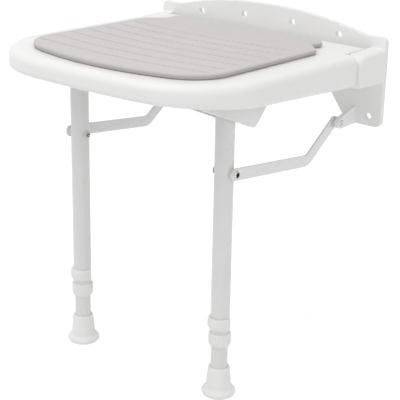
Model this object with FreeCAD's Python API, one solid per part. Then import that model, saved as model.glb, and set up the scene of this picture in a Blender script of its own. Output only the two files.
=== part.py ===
import FreeCAD, Part
import math
import os

# Fold down wall seat with two adjustable legs. All sizes are millimetres.
# +X runs to the right along the wall, +Y goes into the wall and +Z is up.
# The origin lies on the wall face, midway across, level with the hinge axis.

V = FreeCAD.Vector

# Layout
HINGE_ABOVE_FLOOR = 467.0
HINGE_OUT = 49.0
SEAT_RISE = 2.0

# Overshoot of cutters past what they cut, and tolerance when edges are picked by their place
MARGIN = 2.0
NEAR = 0.01

# Fits
PIN_FIT = 0.05
OPEN_PIVOT_FIT = 0.3
SLIDE_FIT = 0.1
SEAT_TO_ARM = 0.6
SEATED = 0.05

# Wall bracket plate, its places across counted from its ends
PLATE_PAST_SEAT = 2.5
PLATE_THICKNESS = 8.0
PLATE_CROWN = 68.0
PLATE_SHOULDER = 44.0
PLATE_EAR_WIDTH = 34.5
PLATE_EAR_TOP = 45.0
PLATE_EAR_ROUND = 9.0
PLATE_WEB_BOTTOM = -24.0
PLATE_WEB_ROUND = 14.0
LOBE_BOTTOM = -98.5
LOBE_WIDTH = 63.0
LOBE_SLANT = 0.72
LOBE_INNER_ROUND = 5.0
LOBE_OUTER_ROUND = 11.0
PLATE_EDGE_ROUND = 1.5

# Wall screw holes
HOLE_RADIUS = 5.7
INNER_HOLE_X = 47.6
INNER_HOLE_Z = 45.4
OUTER_HOLE_INSET = 85.5
OUTER_HOLE_Z = 38.2
LOWER_HOLE_INSET = 23.5
LOWER_HOLE_Z = -82.8

# Hinge arms
ARM_THICKNESS = 25.5
ARM_TO_RIM = 4.0
ARM_TOP = 28.0
ARM_BOTTOM_AT_PLATE = 28.0
ARM_BOTTOM_FRONT = 22.0
ARM_LOW_ROUND = 11.0
ARM_OUTER_ROUND = 7.5

# Hinge pins and bushes
HINGE_PIN_RADIUS = 6.0
HINGE_PIN_IN_ARM = 17.0
HINGE_BUSH_WALL = 2.5
HINGE_BOSS_WALL = 4.5
HINGE_BOSS_LENGTH = 27.0
HINGE_HEAD_RADIUS = 9.0
HINGE_HEAD_LENGTH = 3.0

# Seat shell, measured from the hinge axis with the seat level
SEAT_HALF_WIDTH = 219.0
SEAT_REACH = 408.0
SEAT_FRONT_RADIUS = 1300.0
SEAT_CORNER_RADIUS = 135.0
SEAT_TOP = 29.0
SEAT_NOSE_BOTTOM = -0.5
SEAT_REAR_BOTTOM = -19.0
SEAT_ROLL = 13.0
SEAT_UNDER_ROLL = 8.0
SEAT_WALL = 5.5
SEAT_SKIN = 5.0
RIM_END = 38.0
DECK_BACK = 26.0
DECK_BOTTOM = -12.0
DECK_EDGE_ROUND = 4.0
RIB_THICKNESS = 3.0
RIB_DEPTH = 17.0
RIB_BITE = 1.0
RIB_COLUMNS = 3
RIB_ROWS = 8

# Pad
PAD_FRONT_MARGIN = 27.0
PAD_SIDE_MARGIN = 49.0
PAD_FRONT_RADIUS = 400.0
PAD_SIDE_END = 76.0
PAD_NOTCH_DEPTH = 28.5
PAD_NOTCH_Y = 46.0
PAD_TONGUE_FLARE = 3.0
PAD_TONGUE_Y = 14.0
PAD_BACK = 10.0
PAD_FRONT_CORNER = 72.0
PAD_SIDE_CORNER = 9.0
PAD_NOTCH_CORNER = 8.0
PAD_TONGUE_CORNER = 11.0
PAD_ABOVE_RIM = 8.3
PAD_CROWN = 1.0
PAD_EDGE_ROUND = 3.0
PAD_FOOT_ROUND = 1.5
PAD_FOOT_INSET = 2.5
PAD_FOOT_GAP = 0.6
PAD_RECESS = 2.0
PAD_RECESS_FIT = 0.4

# Pad channels
CHANNEL_COUNT = 7
CHANNEL_FIRST = 131.0
CHANNEL_SPACING = 35.0
CHANNEL_RADIUS = 2.6
CHANNEL_DEPTH = 1.8
CHANNEL_CURVE = 660.0
CHANNEL_BORDER_SIDE = 13.0
CHANNEL_BORDER_FRONT = 20.0

# Pad studs
STUD_RADIUS = 4.0
STUD_IN_PAD = 5.0
STUD_HEAD_RADIUS = 7.0
STUD_HEAD_LENGTH = 3.0
STUD_ROWS = (1, 5)

# Leg sockets under the seat, and the leg pivot
LEG_INSET = 78.6
LEG_PIVOT_OUT = 256.6
LEG_PIVOT_DROP = 30.0
EAR_THICKNESS = 11.0
EAR_GAP = 2.3
EAR_HEEL = 222.0
EAR_DEPTH = 56.0
EAR_BACK = 180.0
EAR_TOE_MARGIN = 63.0
EAR_TOE_DEPTH = 8.0
EAR_HEEL_ROUND = 9.0
EAR_BACK_ROUND = 16.0
SOCKET_WEB = 4.0
LEG_PIN_RADIUS = 4.0
LEG_PIN_IN_EAR = 7.0
LEG_PIN_HEAD_RADIUS = 7.0
LEG_PIN_HEAD_LENGTH = 2.0
LEG_WASHER_RADIUS = 8.0

# Leg tubes
TUBE_RADIUS = 14.3
TUBE_WALL = 1.5
TUBE_ABOVE_PIVOT = 11.0
TUBE_END_ABOVE_FLOOR = 86.0
PLUG_LENGTH = 30.0
PLUG_CAP = 2.0
PLUG_CAP_CHAMFER = 1.3

# Inner tubes
INNER_RADIUS = 12.7
INNER_WALL = 1.5
INNER_TOP_ABOVE_FLOOR = 300.0
ADJUST_PITCH = 25.0
ADJUST_HOLES = 7
ADJUST_HOLE_RADIUS = 3.7

# Collars at the ends of the leg tubes
COLLAR_RADIUS = 16.7
COLLAR_LENGTH = 22.0
COLLAR_LIP = 4.0
COLLAR_CHAMFER = 2.2
COLLAR_FLUTES = 18
COLLAR_FLUTE_RADIUS = 1.2
COLLAR_FLUTE_DEPTH = 0.5
COLLAR_FLUTE_SHORT = 1.0

# Height clips
CLIP_ABOVE_FLOOR = 120.0
CLIP_HEIGHT = 18.5
CLIP_WALL = 2.4
CLIP_ARM = 8.0
CLIP_BOSS_WIDTH = 17.0
CLIP_BOSS_OUT = 4.2
CLIP_PEG_RADIUS = 3.4
CLIP_PEG_FIT = 0.3

# Feet
FOOT_HEIGHT = 46.0
FOOT_FLOOR = 8.0
FOOT_SOLE_RADIUS = 20.0
FOOT_FLANGE_RADIUS = 25.4
FOOT_FLANGE_LOW = 2.0
FOOT_FLANGE_HIGH = 4.5
FOOT_FLANGE_BEVEL = 1.2
FOOT_WAIST_RADIUS = 18.6
FOOT_WAIST_HEIGHT = 14.5
FOOT_SHOULDER_RADIUS = 21.6
FOOT_SHOULDER_HEIGHT = 9.6
FOOT_TOP_RADIUS = 16.4
FOOT_TOP_CHAMFER = 1.5
FOOT_WASHER_THICKNESS = 1.5

# Folding links
LINK_DROP = 89.5
STRAP_THICKNESS = 3.5
STRAP_WIDTH = 18.0
STRAP_GAP = 2.0
BEND_OUT = 72.0
BEND_DOWN = 46.5
BEND_RADIUS = 22.0
LINK_PIN_RADIUS = 4.0
LINK_HEAD_RADIUS = 7.0
LINK_HEAD_LENGTH = 2.5
LINK_HEAD_CHAMFER = 1.4
LINK_TAIL_RADIUS = 5.5
LINK_TAIL_LENGTH = 1.2
BOLT_RADIUS = 3.0
BOLT_HEAD_RADIUS = 6.5
BOLT_HEAD_HEIGHT = 4.5
BOLT_END = 2.0
NUT_ACROSS_FLATS = 10.0
NUT_HEIGHT = 5.0
LINK_WASHER_RADIUS = 7.0
LINK_WASHER_THICKNESS = 1.2

# Link lugs on the wall bracket
LUG_THICKNESS = 7.0
LUG_OUT_OF_STRAP = 5.5
LUG_TIP_RADIUS = 9.0
LUG_ROOT_TOP = -69.0
SPACER_RADIUS = 8.6
SPACER_WAIST = 7.2
SPACER_SLACK = 0.3

# Derived places
FLOOR = -HINGE_ABOVE_FLOOR
PLATE_HALF_WIDTH = SEAT_HALF_WIDTH + PLATE_PAST_SEAT
PLATE_SHOULDER_X = PLATE_HALF_WIDTH - PLATE_EAR_WIDTH
LOBE_INNER_X = PLATE_HALF_WIDTH - LOBE_WIDTH
OUTER_HOLE_X = PLATE_HALF_WIDTH - OUTER_HOLE_INSET
LOWER_HOLE_X = PLATE_HALF_WIDTH - LOWER_HOLE_INSET
ARM_INNER_X = PLATE_HALF_WIDTH - ARM_THICKNESS
ARM_FRONT = RIM_END - ARM_TO_RIM
DECK_HALF_WIDTH = ARM_INNER_X - SEAT_TO_ARM
LEG_X = SEAT_HALF_WIDTH - LEG_INSET
EAR_INNER_X = LEG_X - TUBE_RADIUS - EAR_GAP - EAR_THICKNESS
EAR_OUTER_X = LEG_X + TUBE_RADIUS + EAR_GAP
EAR_TOE = SEAT_REACH - EAR_TOE_MARGIN
EAR_REAR = EAR_BACK - 2 * EAR_BACK_ROUND
SKIN_BOTTOM = SEAT_TOP - SEAT_SKIN
RIB_SPACING_X = EAR_INNER_X / RIB_COLUMNS
RIB_SPACING_Y = (SEAT_REACH + DECK_BACK) / RIB_ROWS
PAD_TOP = SEAT_TOP + PAD_ABOVE_RIM
PAD_FRONT = SEAT_REACH - PAD_FRONT_MARGIN
PAD_HALF = SEAT_HALF_WIDTH - PAD_SIDE_MARGIN
PAD_NOTCH_X = PAD_HALF - PAD_NOTCH_DEPTH
PAD_TONGUE_X = PAD_NOTCH_X + PAD_TONGUE_FLARE
STUD_X = EAR_INNER_X - RIB_SPACING_X / 2
PLUG_RADIUS = TUBE_RADIUS - TUBE_WALL
COLLAR_BOTTOM = FLOOR + TUBE_END_ABOVE_FLOOR - COLLAR_LIP
CLIP_RADIUS = TUBE_RADIUS + SLIDE_FIT + CLIP_WALL
STRAP_X = LEG_X + CLIP_RADIUS + STRAP_GAP
LUG_X = STRAP_X + STRAP_THICKNESS + LUG_OUT_OF_STRAP
CLIP_Z = FLOOR + CLIP_ABOVE_FLOOR


def seat_to_world(y, z):
    """Place of a point of the level seat, given from the hinge axis, in the part's frame."""
    rise = math.radians(SEAT_RISE)
    return (-HINGE_OUT + y * math.cos(rise) + z * math.sin(rise),
            -y * math.sin(rise) + z * math.cos(rise))


LEG_Y, LEG_PIVOT_Z = seat_to_world(-LEG_PIVOT_OUT, -LEG_PIVOT_DROP)
BOLT_Z = LEG_PIVOT_Z - LINK_DROP
LUG_Z = -LINK_DROP
TUBE_TOP = LEG_PIVOT_Z + TUBE_ABOVE_PIVOT


# Small helpers

def box(x0, x1, y0, y1, z0, z1):
    return Part.makeBox(x1 - x0, y1 - y0, z1 - z0, V(x0, y0, z0))


def rod_x(radius, x0, x1, y, z):
    return Part.makeCylinder(radius, x1 - x0, V(x0, y, z), V(1, 0, 0))


def rod_y(radius, y0, y1, x, z):
    return Part.makeCylinder(radius, y1 - y0, V(x, y0, z), V(0, 1, 0))


def rod_z(radius, z0, z1, x, y):
    return Part.makeCylinder(radius, z1 - z0, V(x, y, z0), V(0, 0, 1))


def flat_xz(a, b):
    return V(a, 0, b)


def flat_yz(a, b):
    return V(0, a, b)


def rounded_corner(before, corner, after, radius):
    """Tangent points and middle of the arc that rounds a corner."""
    u = (before - corner).normalize()
    w = (after - corner).normalize()
    half = math.acos(max(-1.0, min(1.0, u.dot(w)))) / 2
    reach = radius / math.tan(half)
    bisector = (u + w).normalize()
    middle = corner + bisector * (radius / math.sin(half) - radius)
    return corner + u * reach, middle, corner + w * reach


def rounded_face(corners, place):
    """Face inside corners (a, b, radius), joined by lines and rounded by tangent arcs."""
    spots = [place(a, b) for a, b, radius in corners]
    runs = []
    for i, (a, b, radius) in enumerate(corners):
        if radius > 0:
            runs.append(rounded_corner(spots[i - 1], spots[i], spots[(i + 1) % len(spots)], radius))
        else:
            runs.append((spots[i], None, spots[i]))
    edges = []
    for i, (start, middle, end) in enumerate(runs):
        if middle is not None:
            edges.append(Part.Arc(start, middle, end).toShape())
        following = runs[(i + 1) % len(runs)][0]
        if end.distanceToPoint(following) > 1e-4:
            edges.append(Part.makeLine(end, following))
    return Part.Face(Part.Wire(edges))


def prism_x(corners, x0, x1):
    face = rounded_face(corners, flat_yz)
    face.translate(V(x0, 0, 0))
    return face.extrude(V(x1 - x0, 0, 0))


def prism_y(corners, y0, y1):
    face = rounded_face(corners, flat_xz)
    face.translate(V(0, y0, 0))
    return face.extrude(V(0, y1 - y0, 0))


def both_sides(corners):
    """Corners of the right half, followed by their mirror images."""
    return corners + [(-a, b, radius) for a, b, radius in reversed(corners)]


def edges_where(shape, test):
    return [edge for edge in shape.Edges if test(edge)]


def upright_edges_at(shape, x, y):
    """Upright edges that stand at (x, y) or at its mirror image."""
    def stands_there(edge):
        spot = edge.CenterOfMass
        box_of_edge = edge.BoundBox
        upright = box_of_edge.XLength < NEAR and box_of_edge.YLength < NEAR
        return upright and abs(abs(spot.x) - x) < NEAR and abs(spot.y - y) < NEAR
    return edges_where(shape, stands_there)


def edges_at_height(shape, z):
    return edges_where(shape, lambda e: abs(e.BoundBox.ZMin - z) < NEAR and e.BoundBox.ZLength < NEAR)


def mirrored(shape):
    return shape.mirror(V(0, 0, 0), V(1, 0, 0))


def place_seat(shape):
    """Moves a solid made for the level seat onto the hinge axis, with the seat's rise."""
    moved = shape.copy()
    moved.rotate(V(0, 0, 0), V(1, 0, 0), -SEAT_RISE)
    moved.translate(V(0, -HINGE_OUT, 0))
    return moved


def revolved(corners, x, y):
    """Solid of revolution about the upright axis at (x, y), from corners (radius, z, rounding)."""
    face = rounded_face(corners, flat_xz)
    solid = face.revolve(V(0, 0, 0), V(0, 0, 1), 360)
    solid.translate(V(x, y, 0))
    return solid


# Wall bracket

def arm_nose_round():
    """Rounding that keeps the arm's upper front corner inside the sweep of the seat's rim."""
    sweep = RIM_END - SEAT_TO_ARM
    return ARM_FRONT + ARM_TOP - sweep - math.sqrt(2 * (sweep - ARM_FRONT) * (sweep - ARM_TOP))


def hinge_arm():
    """Right arm with the blind bore that grips its hinge pin."""
    root = HINGE_OUT - PLATE_THICKNESS / 2
    arm = prism_x([
        (root, -ARM_BOTTOM_AT_PLATE, 0),
        (-ARM_FRONT, -ARM_BOTTOM_FRONT, ARM_LOW_ROUND),
        (-ARM_FRONT, ARM_TOP, arm_nose_round()),
        (root, ARM_TOP, 0),
    ], ARM_INNER_X, PLATE_HALF_WIDTH)
    outer = edges_where(arm, lambda e: e.BoundBox.XMin > PLATE_HALF_WIDTH - NEAR
                        and e.BoundBox.YMin < root - NEAR)
    arm = arm.makeFillet(ARM_OUTER_ROUND, outer)
    arm.translate(V(0, -HINGE_OUT, 0))
    bore = rod_x(HINGE_PIN_RADIUS, ARM_INNER_X - MARGIN, ARM_INNER_X + HINGE_PIN_IN_ARM, -HINGE_OUT, 0)
    return arm.cut(bore)


def link_lug():
    """Right lug: a gusset that carries the folding link at its tip."""
    tip_y = -HINGE_OUT
    root = -PLATE_THICKNESS / 2
    tip = rod_x(LUG_TIP_RADIUS, LUG_X, LUG_X + LUG_THICKNESS, tip_y, LUG_Z)
    reach = math.hypot(tip_y - root, LUG_Z - LUG_ROOT_TOP)
    lean = math.atan2(LUG_Z - LUG_ROOT_TOP, tip_y - root) - math.asin(LUG_TIP_RADIUS / reach)
    length = math.sqrt(reach ** 2 - LUG_TIP_RADIUS ** 2)
    touch_y = root + length * math.cos(lean)
    touch_z = LUG_ROOT_TOP + length * math.sin(lean)
    web = prism_x([
        (root, LUG_ROOT_TOP, 0),
        (touch_y, touch_z, 0),
        (tip_y, LUG_Z, 0),
        (tip_y, LUG_Z - LUG_TIP_RADIUS, 0),
        (root, LUG_Z - LUG_TIP_RADIUS, 0),
    ], LUG_X, LUG_X + LUG_THICKNESS)
    bore = rod_x(LINK_PIN_RADIUS + SEATED, LUG_X - MARGIN, LUG_X + LUG_THICKNESS + MARGIN, tip_y, LUG_Z)
    return web.fuse(tip).cut(bore)


def bracket_plate():
    """Arched back plate with a lobe below each end and six screw holes."""
    slant_top = LOBE_INNER_X - (PLATE_WEB_BOTTOM - LOBE_BOTTOM) * LOBE_SLANT
    lower = [
        (slant_top, PLATE_WEB_BOTTOM, PLATE_WEB_ROUND),
        (LOBE_INNER_X, LOBE_BOTTOM, LOBE_INNER_ROUND),
        (PLATE_HALF_WIDTH, LOBE_BOTTOM, LOBE_OUTER_ROUND),
        (PLATE_HALF_WIDTH, PLATE_EAR_TOP, PLATE_EAR_ROUND),
        (PLATE_SHOULDER_X, PLATE_EAR_TOP, 0),
    ]
    slab = prism_y(both_sides(lower), -PLATE_THICKNESS, 0)
    rise = PLATE_CROWN - PLATE_SHOULDER
    radius = (PLATE_SHOULDER_X ** 2 + rise ** 2) / (2 * rise)
    disc = rod_y(radius, -PLATE_THICKNESS, 0, 0, PLATE_CROWN - radius)
    band = box(-PLATE_SHOULDER_X - ARM_THICKNESS / 2, PLATE_SHOULDER_X + ARM_THICKNESS / 2,
               -PLATE_THICKNESS, 0, PLATE_WEB_BOTTOM, PLATE_CROWN + MARGIN)
    plate = slab.fuse(disc.common(band)).removeSplitter()
    front = edges_where(plate, lambda e: e.BoundBox.YMax < -PLATE_THICKNESS + NEAR
                        and e.BoundBox.YLength < NEAR)
    plate = plate.makeFillet(PLATE_EDGE_ROUND, front)
    for x, z in ((INNER_HOLE_X, INNER_HOLE_Z), (OUTER_HOLE_X, OUTER_HOLE_Z),
                 (LOWER_HOLE_X, LOWER_HOLE_Z)):
        for side in (-1, 1):
            plate = plate.cut(rod_y(HOLE_RADIUS, -PLATE_THICKNESS - MARGIN, MARGIN, side * x, z))
    return plate


def wall_bracket():
    bracket = bracket_plate()
    for piece in (hinge_arm(), link_lug()):
        bracket = bracket.fuse(piece).fuse(mirrored(piece))
    return bracket.removeSplitter()


# Hinge pins and bushes

def hinge_pin():
    inner = DECK_HALF_WIDTH - HINGE_BOSS_LENGTH - SPACER_SLACK
    shank = rod_x(HINGE_PIN_RADIUS, inner, ARM_INNER_X + HINGE_PIN_IN_ARM, -HINGE_OUT, 0)
    head = rod_x(HINGE_HEAD_RADIUS, inner - HINGE_HEAD_LENGTH, inner, -HINGE_OUT, 0)
    return shank.fuse(head)


def hinge_bush():
    x0 = DECK_HALF_WIDTH - HINGE_BOSS_LENGTH
    outer = rod_x(HINGE_PIN_RADIUS + HINGE_BUSH_WALL, x0, DECK_HALF_WIDTH, 0, 0)
    bore = rod_x(HINGE_PIN_RADIUS + PIN_FIT, x0 - MARGIN, DECK_HALF_WIDTH + MARGIN, 0, 0)
    return outer.cut(bore)


# Seat shell

def seat_front_y(x, reach, radius):
    return -reach + radius - math.sqrt(radius ** 2 - x ** 2)


def seat_block(inset, top, bottom, roll):
    """Rounded block of the seat's plan, drawn in by inset, with its upper edge rolled over."""
    half = SEAT_HALF_WIDTH - inset
    reach = SEAT_REACH - inset
    radius = SEAT_FRONT_RADIUS - inset
    end = -RIM_END - inset
    corner_y = seat_front_y(half, reach, radius)
    wire = Part.Wire([
        Part.Arc(V(-half, corner_y, 0), V(0, -reach, 0), V(half, corner_y, 0)).toShape(),
        Part.makeLine(V(half, corner_y, 0), V(half, end, 0)),
        Part.makeLine(V(half, end, 0), V(-half, end, 0)),
        Part.makeLine(V(-half, end, 0), V(-half, corner_y, 0)),
    ])
    face = Part.Face(wire)
    face.translate(V(0, 0, bottom))
    block = face.extrude(V(0, 0, top - bottom))
    block = block.makeFillet(SEAT_CORNER_RADIUS - inset, upright_edges_at(block, half, corner_y))
    rim = edges_where(block, lambda e: abs(e.BoundBox.ZMin - top) < NEAR
                      and e.BoundBox.YMin < end - NEAR)
    return block.makeFillet(roll, rim)


def underside_z(y):
    """Height of the tapered underside at y."""
    share = (-y - RIM_END) / (SEAT_REACH - RIM_END)
    return SEAT_REAR_BOTTOM + share * (SEAT_NOSE_BOTTOM - SEAT_REAR_BOTTOM)


def seat_outer():
    """Outside of the seat: bull-nosed rim, with an underside that drops towards the hinge."""
    block = seat_block(0, SEAT_TOP, SEAT_REAR_BOTTOM - MARGIN, SEAT_ROLL)
    front = -SEAT_REACH - MARGIN
    side_view = prism_x([
        (front, underside_z(front), 0),
        (-RIM_END, SEAT_REAR_BOTTOM, 0),
        (-RIM_END, SEAT_TOP + MARGIN, 0),
        (front, SEAT_TOP + MARGIN, 0),
    ], -SEAT_HALF_WIDTH - MARGIN, SEAT_HALF_WIDTH + MARGIN)
    block = block.common(side_view)

    def is_lower(edge):
        ends = [vertex.Point for vertex in edge.Vertexes]
        flush = all(abs(spot.z - underside_z(spot.y)) < NEAR for spot in ends)
        return flush and edge.BoundBox.YMin < -RIM_END - NEAR

    block = block.makeFillet(SEAT_UNDER_ROLL, edges_where(block, is_lower))
    deck = box(-DECK_HALF_WIDTH, DECK_HALF_WIDTH, -RIM_END - MARGIN, DECK_BACK, DECK_BOTTOM, SEAT_TOP)
    back_edges = edges_where(deck, lambda e: e.BoundBox.YMin > DECK_BACK - NEAR)
    deck = deck.makeFillet(DECK_EDGE_ROUND, back_edges)
    return block.fuse(deck)


def seat_hollow():
    """Space under the seat's skin, open at the bottom."""
    main = seat_block(SEAT_WALL, SKIN_BOTTOM, SEAT_REAR_BOTTOM - MARGIN, SEAT_ROLL - SEAT_WALL)
    half = DECK_HALF_WIDTH - SEAT_WALL
    rear = box(-half, half, -RIM_END - SEAT_WALL - MARGIN, DECK_BACK - SEAT_WALL,
               SEAT_REAR_BOTTOM - MARGIN, SKIN_BOTTOM)
    return main.fuse(rear)


def rib_row_y(row):
    return DECK_BACK - SEAT_WALL / 2 - (row + 1) * RIB_SPACING_Y


def seat_ribs():
    """Grid of stiffening ribs that hangs from the skin between the two inner ears."""
    bottom = SKIN_BOTTOM - RIB_DEPTH
    top = SKIN_BOTTOM + RIB_BITE
    into_wall = SEAT_WALL - RIB_BITE
    ribs = []
    for column in range(1 - RIB_COLUMNS, RIB_COLUMNS):
        x = column * RIB_SPACING_X
        start = seat_front_y(x, SEAT_REACH, SEAT_FRONT_RADIUS) + into_wall
        ribs.append(box(x - RIB_THICKNESS / 2, x + RIB_THICKNESS / 2, start,
                        DECK_BACK - into_wall, bottom, top))
    for row in range(RIB_ROWS - 1):
        y = rib_row_y(row)
        beside_ears = -EAR_REAR < y < -RIM_END - SEAT_WALL
        reach_x = SEAT_HALF_WIDTH - into_wall if beside_ears else EAR_INNER_X + RIB_BITE
        ribs.append(box(-reach_x, reach_x, y - RIB_THICKNESS / 2, y + RIB_THICKNESS / 2, bottom, top))
    return ribs


def ear_plate(x0, x1):
    """One cheek of a leg socket, deepest behind the leg pivot."""
    return prism_x([
        (-EAR_REAR, SKIN_BOTTOM + MARGIN, 0),
        (-EAR_REAR, underside_z(-EAR_REAR) + MARGIN / 2, 0),
        (-EAR_BACK, underside_z(-EAR_BACK), EAR_BACK_ROUND),
        (-EAR_HEEL, -EAR_DEPTH, EAR_HEEL_ROUND),
        (-EAR_TOE, -EAR_TOE_DEPTH, 0),
        (-EAR_TOE, SKIN_BOTTOM + MARGIN, 0),
    ], x0, x1)


def leg_socket():
    """Right leg socket: two cheeks, a front web and the holes for the pivot pin."""
    inner = ear_plate(EAR_INNER_X, EAR_INNER_X + EAR_THICKNESS)
    outer = ear_plate(EAR_OUTER_X, EAR_OUTER_X + EAR_THICKNESS)
    web = box(EAR_INNER_X, EAR_OUTER_X + EAR_THICKNESS, -EAR_TOE, -EAR_TOE + SOCKET_WEB,
              -EAR_TOE_DEPTH, SKIN_BOTTOM + MARGIN)
    socket = inner.fuse(outer).fuse(web)
    hole = rod_x(LEG_PIN_RADIUS, EAR_INNER_X - MARGIN, EAR_OUTER_X + LEG_PIN_IN_EAR,
                 -LEG_PIVOT_OUT, -LEG_PIVOT_DROP)
    return socket.cut(hole)


def hinge_boss():
    """Right hinge boss, hung from the deck inside its side wall."""
    x0 = DECK_HALF_WIDTH - HINGE_BOSS_LENGTH
    radius = HINGE_PIN_RADIUS + HINGE_BUSH_WALL + HINGE_BOSS_WALL
    boss = rod_x(radius, x0, DECK_HALF_WIDTH, 0, 0)
    return boss.fuse(box(x0, DECK_HALF_WIDTH, -radius, radius, 0, SKIN_BOTTOM + MARGIN))


def hinge_bush_bore():
    x0 = DECK_HALF_WIDTH - HINGE_BOSS_LENGTH
    return rod_x(HINGE_PIN_RADIUS + HINGE_BUSH_WALL, x0 - MARGIN, DECK_HALF_WIDTH + MARGIN, 0, 0)


def stud_places():
    """Places of the studs, each in the middle of a cell of the rib grid."""
    return [(side * STUD_X, rib_row_y(row) - RIB_SPACING_Y / 2) for side in (-1, 1) for row in STUD_ROWS]


def seat_shell():
    shell = seat_outer().cut(seat_hollow())
    pieces = seat_ribs()
    for piece in (leg_socket(), hinge_boss()):
        pieces += [piece, mirrored(piece)]
    shell = shell.multiFuse(pieces)
    bore = hinge_bush_bore()
    shell = shell.cut(bore).cut(mirrored(bore))
    recess = pad_slab(PAD_FOOT_INSET - PAD_RECESS_FIT, SEAT_TOP - PAD_RECESS, SEAT_TOP + MARGIN)
    shell = shell.cut(recess)
    for x, y in stud_places():
        shell = shell.cut(rod_z(STUD_RADIUS + SEATED, 0, SEAT_TOP + MARGIN, x, y))
    return place_seat(shell.removeSplitter())


# Pad

def pad_slab(inset, bottom, top):
    """Flat slab of the pad's plan, drawn in by inset."""
    half = PAD_HALF - inset
    front = V(half, seat_front_y(half, PAD_FRONT - inset, PAD_FRONT_RADIUS - inset), 0)
    side = V(half, -PAD_SIDE_END - inset / 2, 0)
    notch = V(PAD_NOTCH_X - inset, -PAD_NOTCH_Y - inset / 2, 0)
    tongue = V(PAD_TONGUE_X - inset, -PAD_TONGUE_Y - inset, 0)

    def flip(spot):
        return V(-spot.x, spot.y, 0)

    wire = Part.Wire([
        Part.Arc(flip(front), V(0, -PAD_FRONT + inset, 0), front).toShape(),
        Part.makeLine(front, side),
        Part.makeLine(side, notch),
        Part.makeLine(notch, tongue),
        Part.Arc(tongue, V(0, -PAD_BACK - inset, 0), flip(tongue)).toShape(),
        Part.makeLine(flip(tongue), flip(notch)),
        Part.makeLine(flip(notch), flip(side)),
        Part.makeLine(flip(side), flip(front)),
    ])
    face = Part.Face(wire)
    face.translate(V(0, 0, bottom))
    slab = face.extrude(V(0, 0, top - bottom))
    for corner, radius in ((front, PAD_FRONT_CORNER - inset), (side, PAD_SIDE_CORNER - inset),
                           (notch, PAD_NOTCH_CORNER + inset), (tongue, PAD_TONGUE_CORNER - inset)):
        slab = slab.makeFillet(radius, upright_edges_at(slab, corner.x, corner.y))
    return slab


def pad_channel(index):
    """Cutter for one channel: a round bar bent across the pad, with domed ends."""
    y = -CHANNEL_FIRST - index * CHANNEL_SPACING
    room = PAD_FRONT + y - CHANNEL_BORDER_FRONT
    spread = 1 / (2 * PAD_FRONT_RADIUS) - 1 / (2 * CHANNEL_CURVE)
    half = min(PAD_HALF - CHANNEL_BORDER_SIDE, math.sqrt(room / spread))
    z = PAD_TOP + PAD_CROWN / 2 + CHANNEL_RADIUS - CHANNEL_DEPTH
    swing = math.degrees(math.asin(half / CHANNEL_CURVE))
    centre = V(0, y + CHANNEL_CURVE, z)
    ring = Part.Wire(Part.makeCircle(CHANNEL_RADIUS, V(0, y, z), V(1, 0, 0)))
    face = Part.Face(ring)
    face.rotate(centre, V(0, 0, 1), -swing)
    bar = face.revolve(centre, V(0, 0, 1), 2 * swing)
    return bar


def seat_pad():
    """Moulded pad: crowned top, rounded edge, sides drawn in at the foot, and cross channels."""
    slab_bottom = SEAT_TOP + PAD_FOOT_GAP
    slab_top = PAD_TOP + PAD_CROWN
    slab = pad_slab(0, slab_bottom, slab_top)
    slab = slab.makeFillet(PAD_EDGE_ROUND, edges_at_height(slab, slab_top))
    slab = slab.makeFillet(PAD_FOOT_ROUND, edges_at_height(slab, slab_bottom))
    radius = (PAD_HALF ** 2 + PAD_CROWN ** 2) / (2 * PAD_CROWN)
    arch = Part.makeCylinder(radius, PAD_FRONT + 2 * PAD_BACK, V(0, -PAD_FRONT - PAD_BACK, slab_top - radius),
                             V(0, 1, 0))
    slab = slab.common(arch.common(box(-SEAT_HALF_WIDTH, SEAT_HALF_WIDTH, -SEAT_REACH, DECK_BACK,
                                       0, slab_top + PAD_CROWN)))
    foot = pad_slab(PAD_FOOT_INSET, SEAT_TOP - PAD_RECESS, SEAT_TOP + PAD_FOOT_GAP + MARGIN)
    pad = slab.fuse(foot)
    for index in range(CHANNEL_COUNT):
        pad = pad.cut(pad_channel(index))
    for x, y in stud_places():
        pad = pad.cut(rod_z(STUD_RADIUS, 0, SEAT_TOP - PAD_RECESS + STUD_IN_PAD, x, y))
    return place_seat(pad.removeSplitter())


def pad_studs():
    """Four push-in studs that hold the pad down through the skin."""
    studs = []
    for x, y in stud_places():
        shank = rod_z(STUD_RADIUS, SKIN_BOTTOM, SEAT_TOP - PAD_RECESS + STUD_IN_PAD, x, y)
        head = rod_z(STUD_HEAD_RADIUS, SKIN_BOTTOM - STUD_HEAD_LENGTH, SKIN_BOTTOM, x, y)
        studs.append(place_seat(shank.fuse(head)))
    return Part.makeCompound(studs)


# Legs

def leg_tube():
    z0 = FLOOR + TUBE_END_ABOVE_FLOOR
    tube = rod_z(TUBE_RADIUS, z0, TUBE_TOP, LEG_X, LEG_Y)
    tube = tube.cut(rod_z(TUBE_RADIUS - TUBE_WALL, z0 - MARGIN, TUBE_TOP + MARGIN, LEG_X, LEG_Y))
    reach = TUBE_RADIUS + MARGIN
    for radius, z in ((LEG_PIN_RADIUS + PIN_FIT, LEG_PIVOT_Z), (BOLT_RADIUS + SEATED, BOLT_Z)):
        tube = tube.cut(rod_x(radius, LEG_X - reach, LEG_X + reach, LEG_Y, z))
    peg_hole = rod_y(CLIP_PEG_RADIUS + CLIP_PEG_FIT, LEG_Y - reach, LEG_Y, LEG_X, CLIP_Z)
    return tube.cut(peg_hole)


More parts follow.
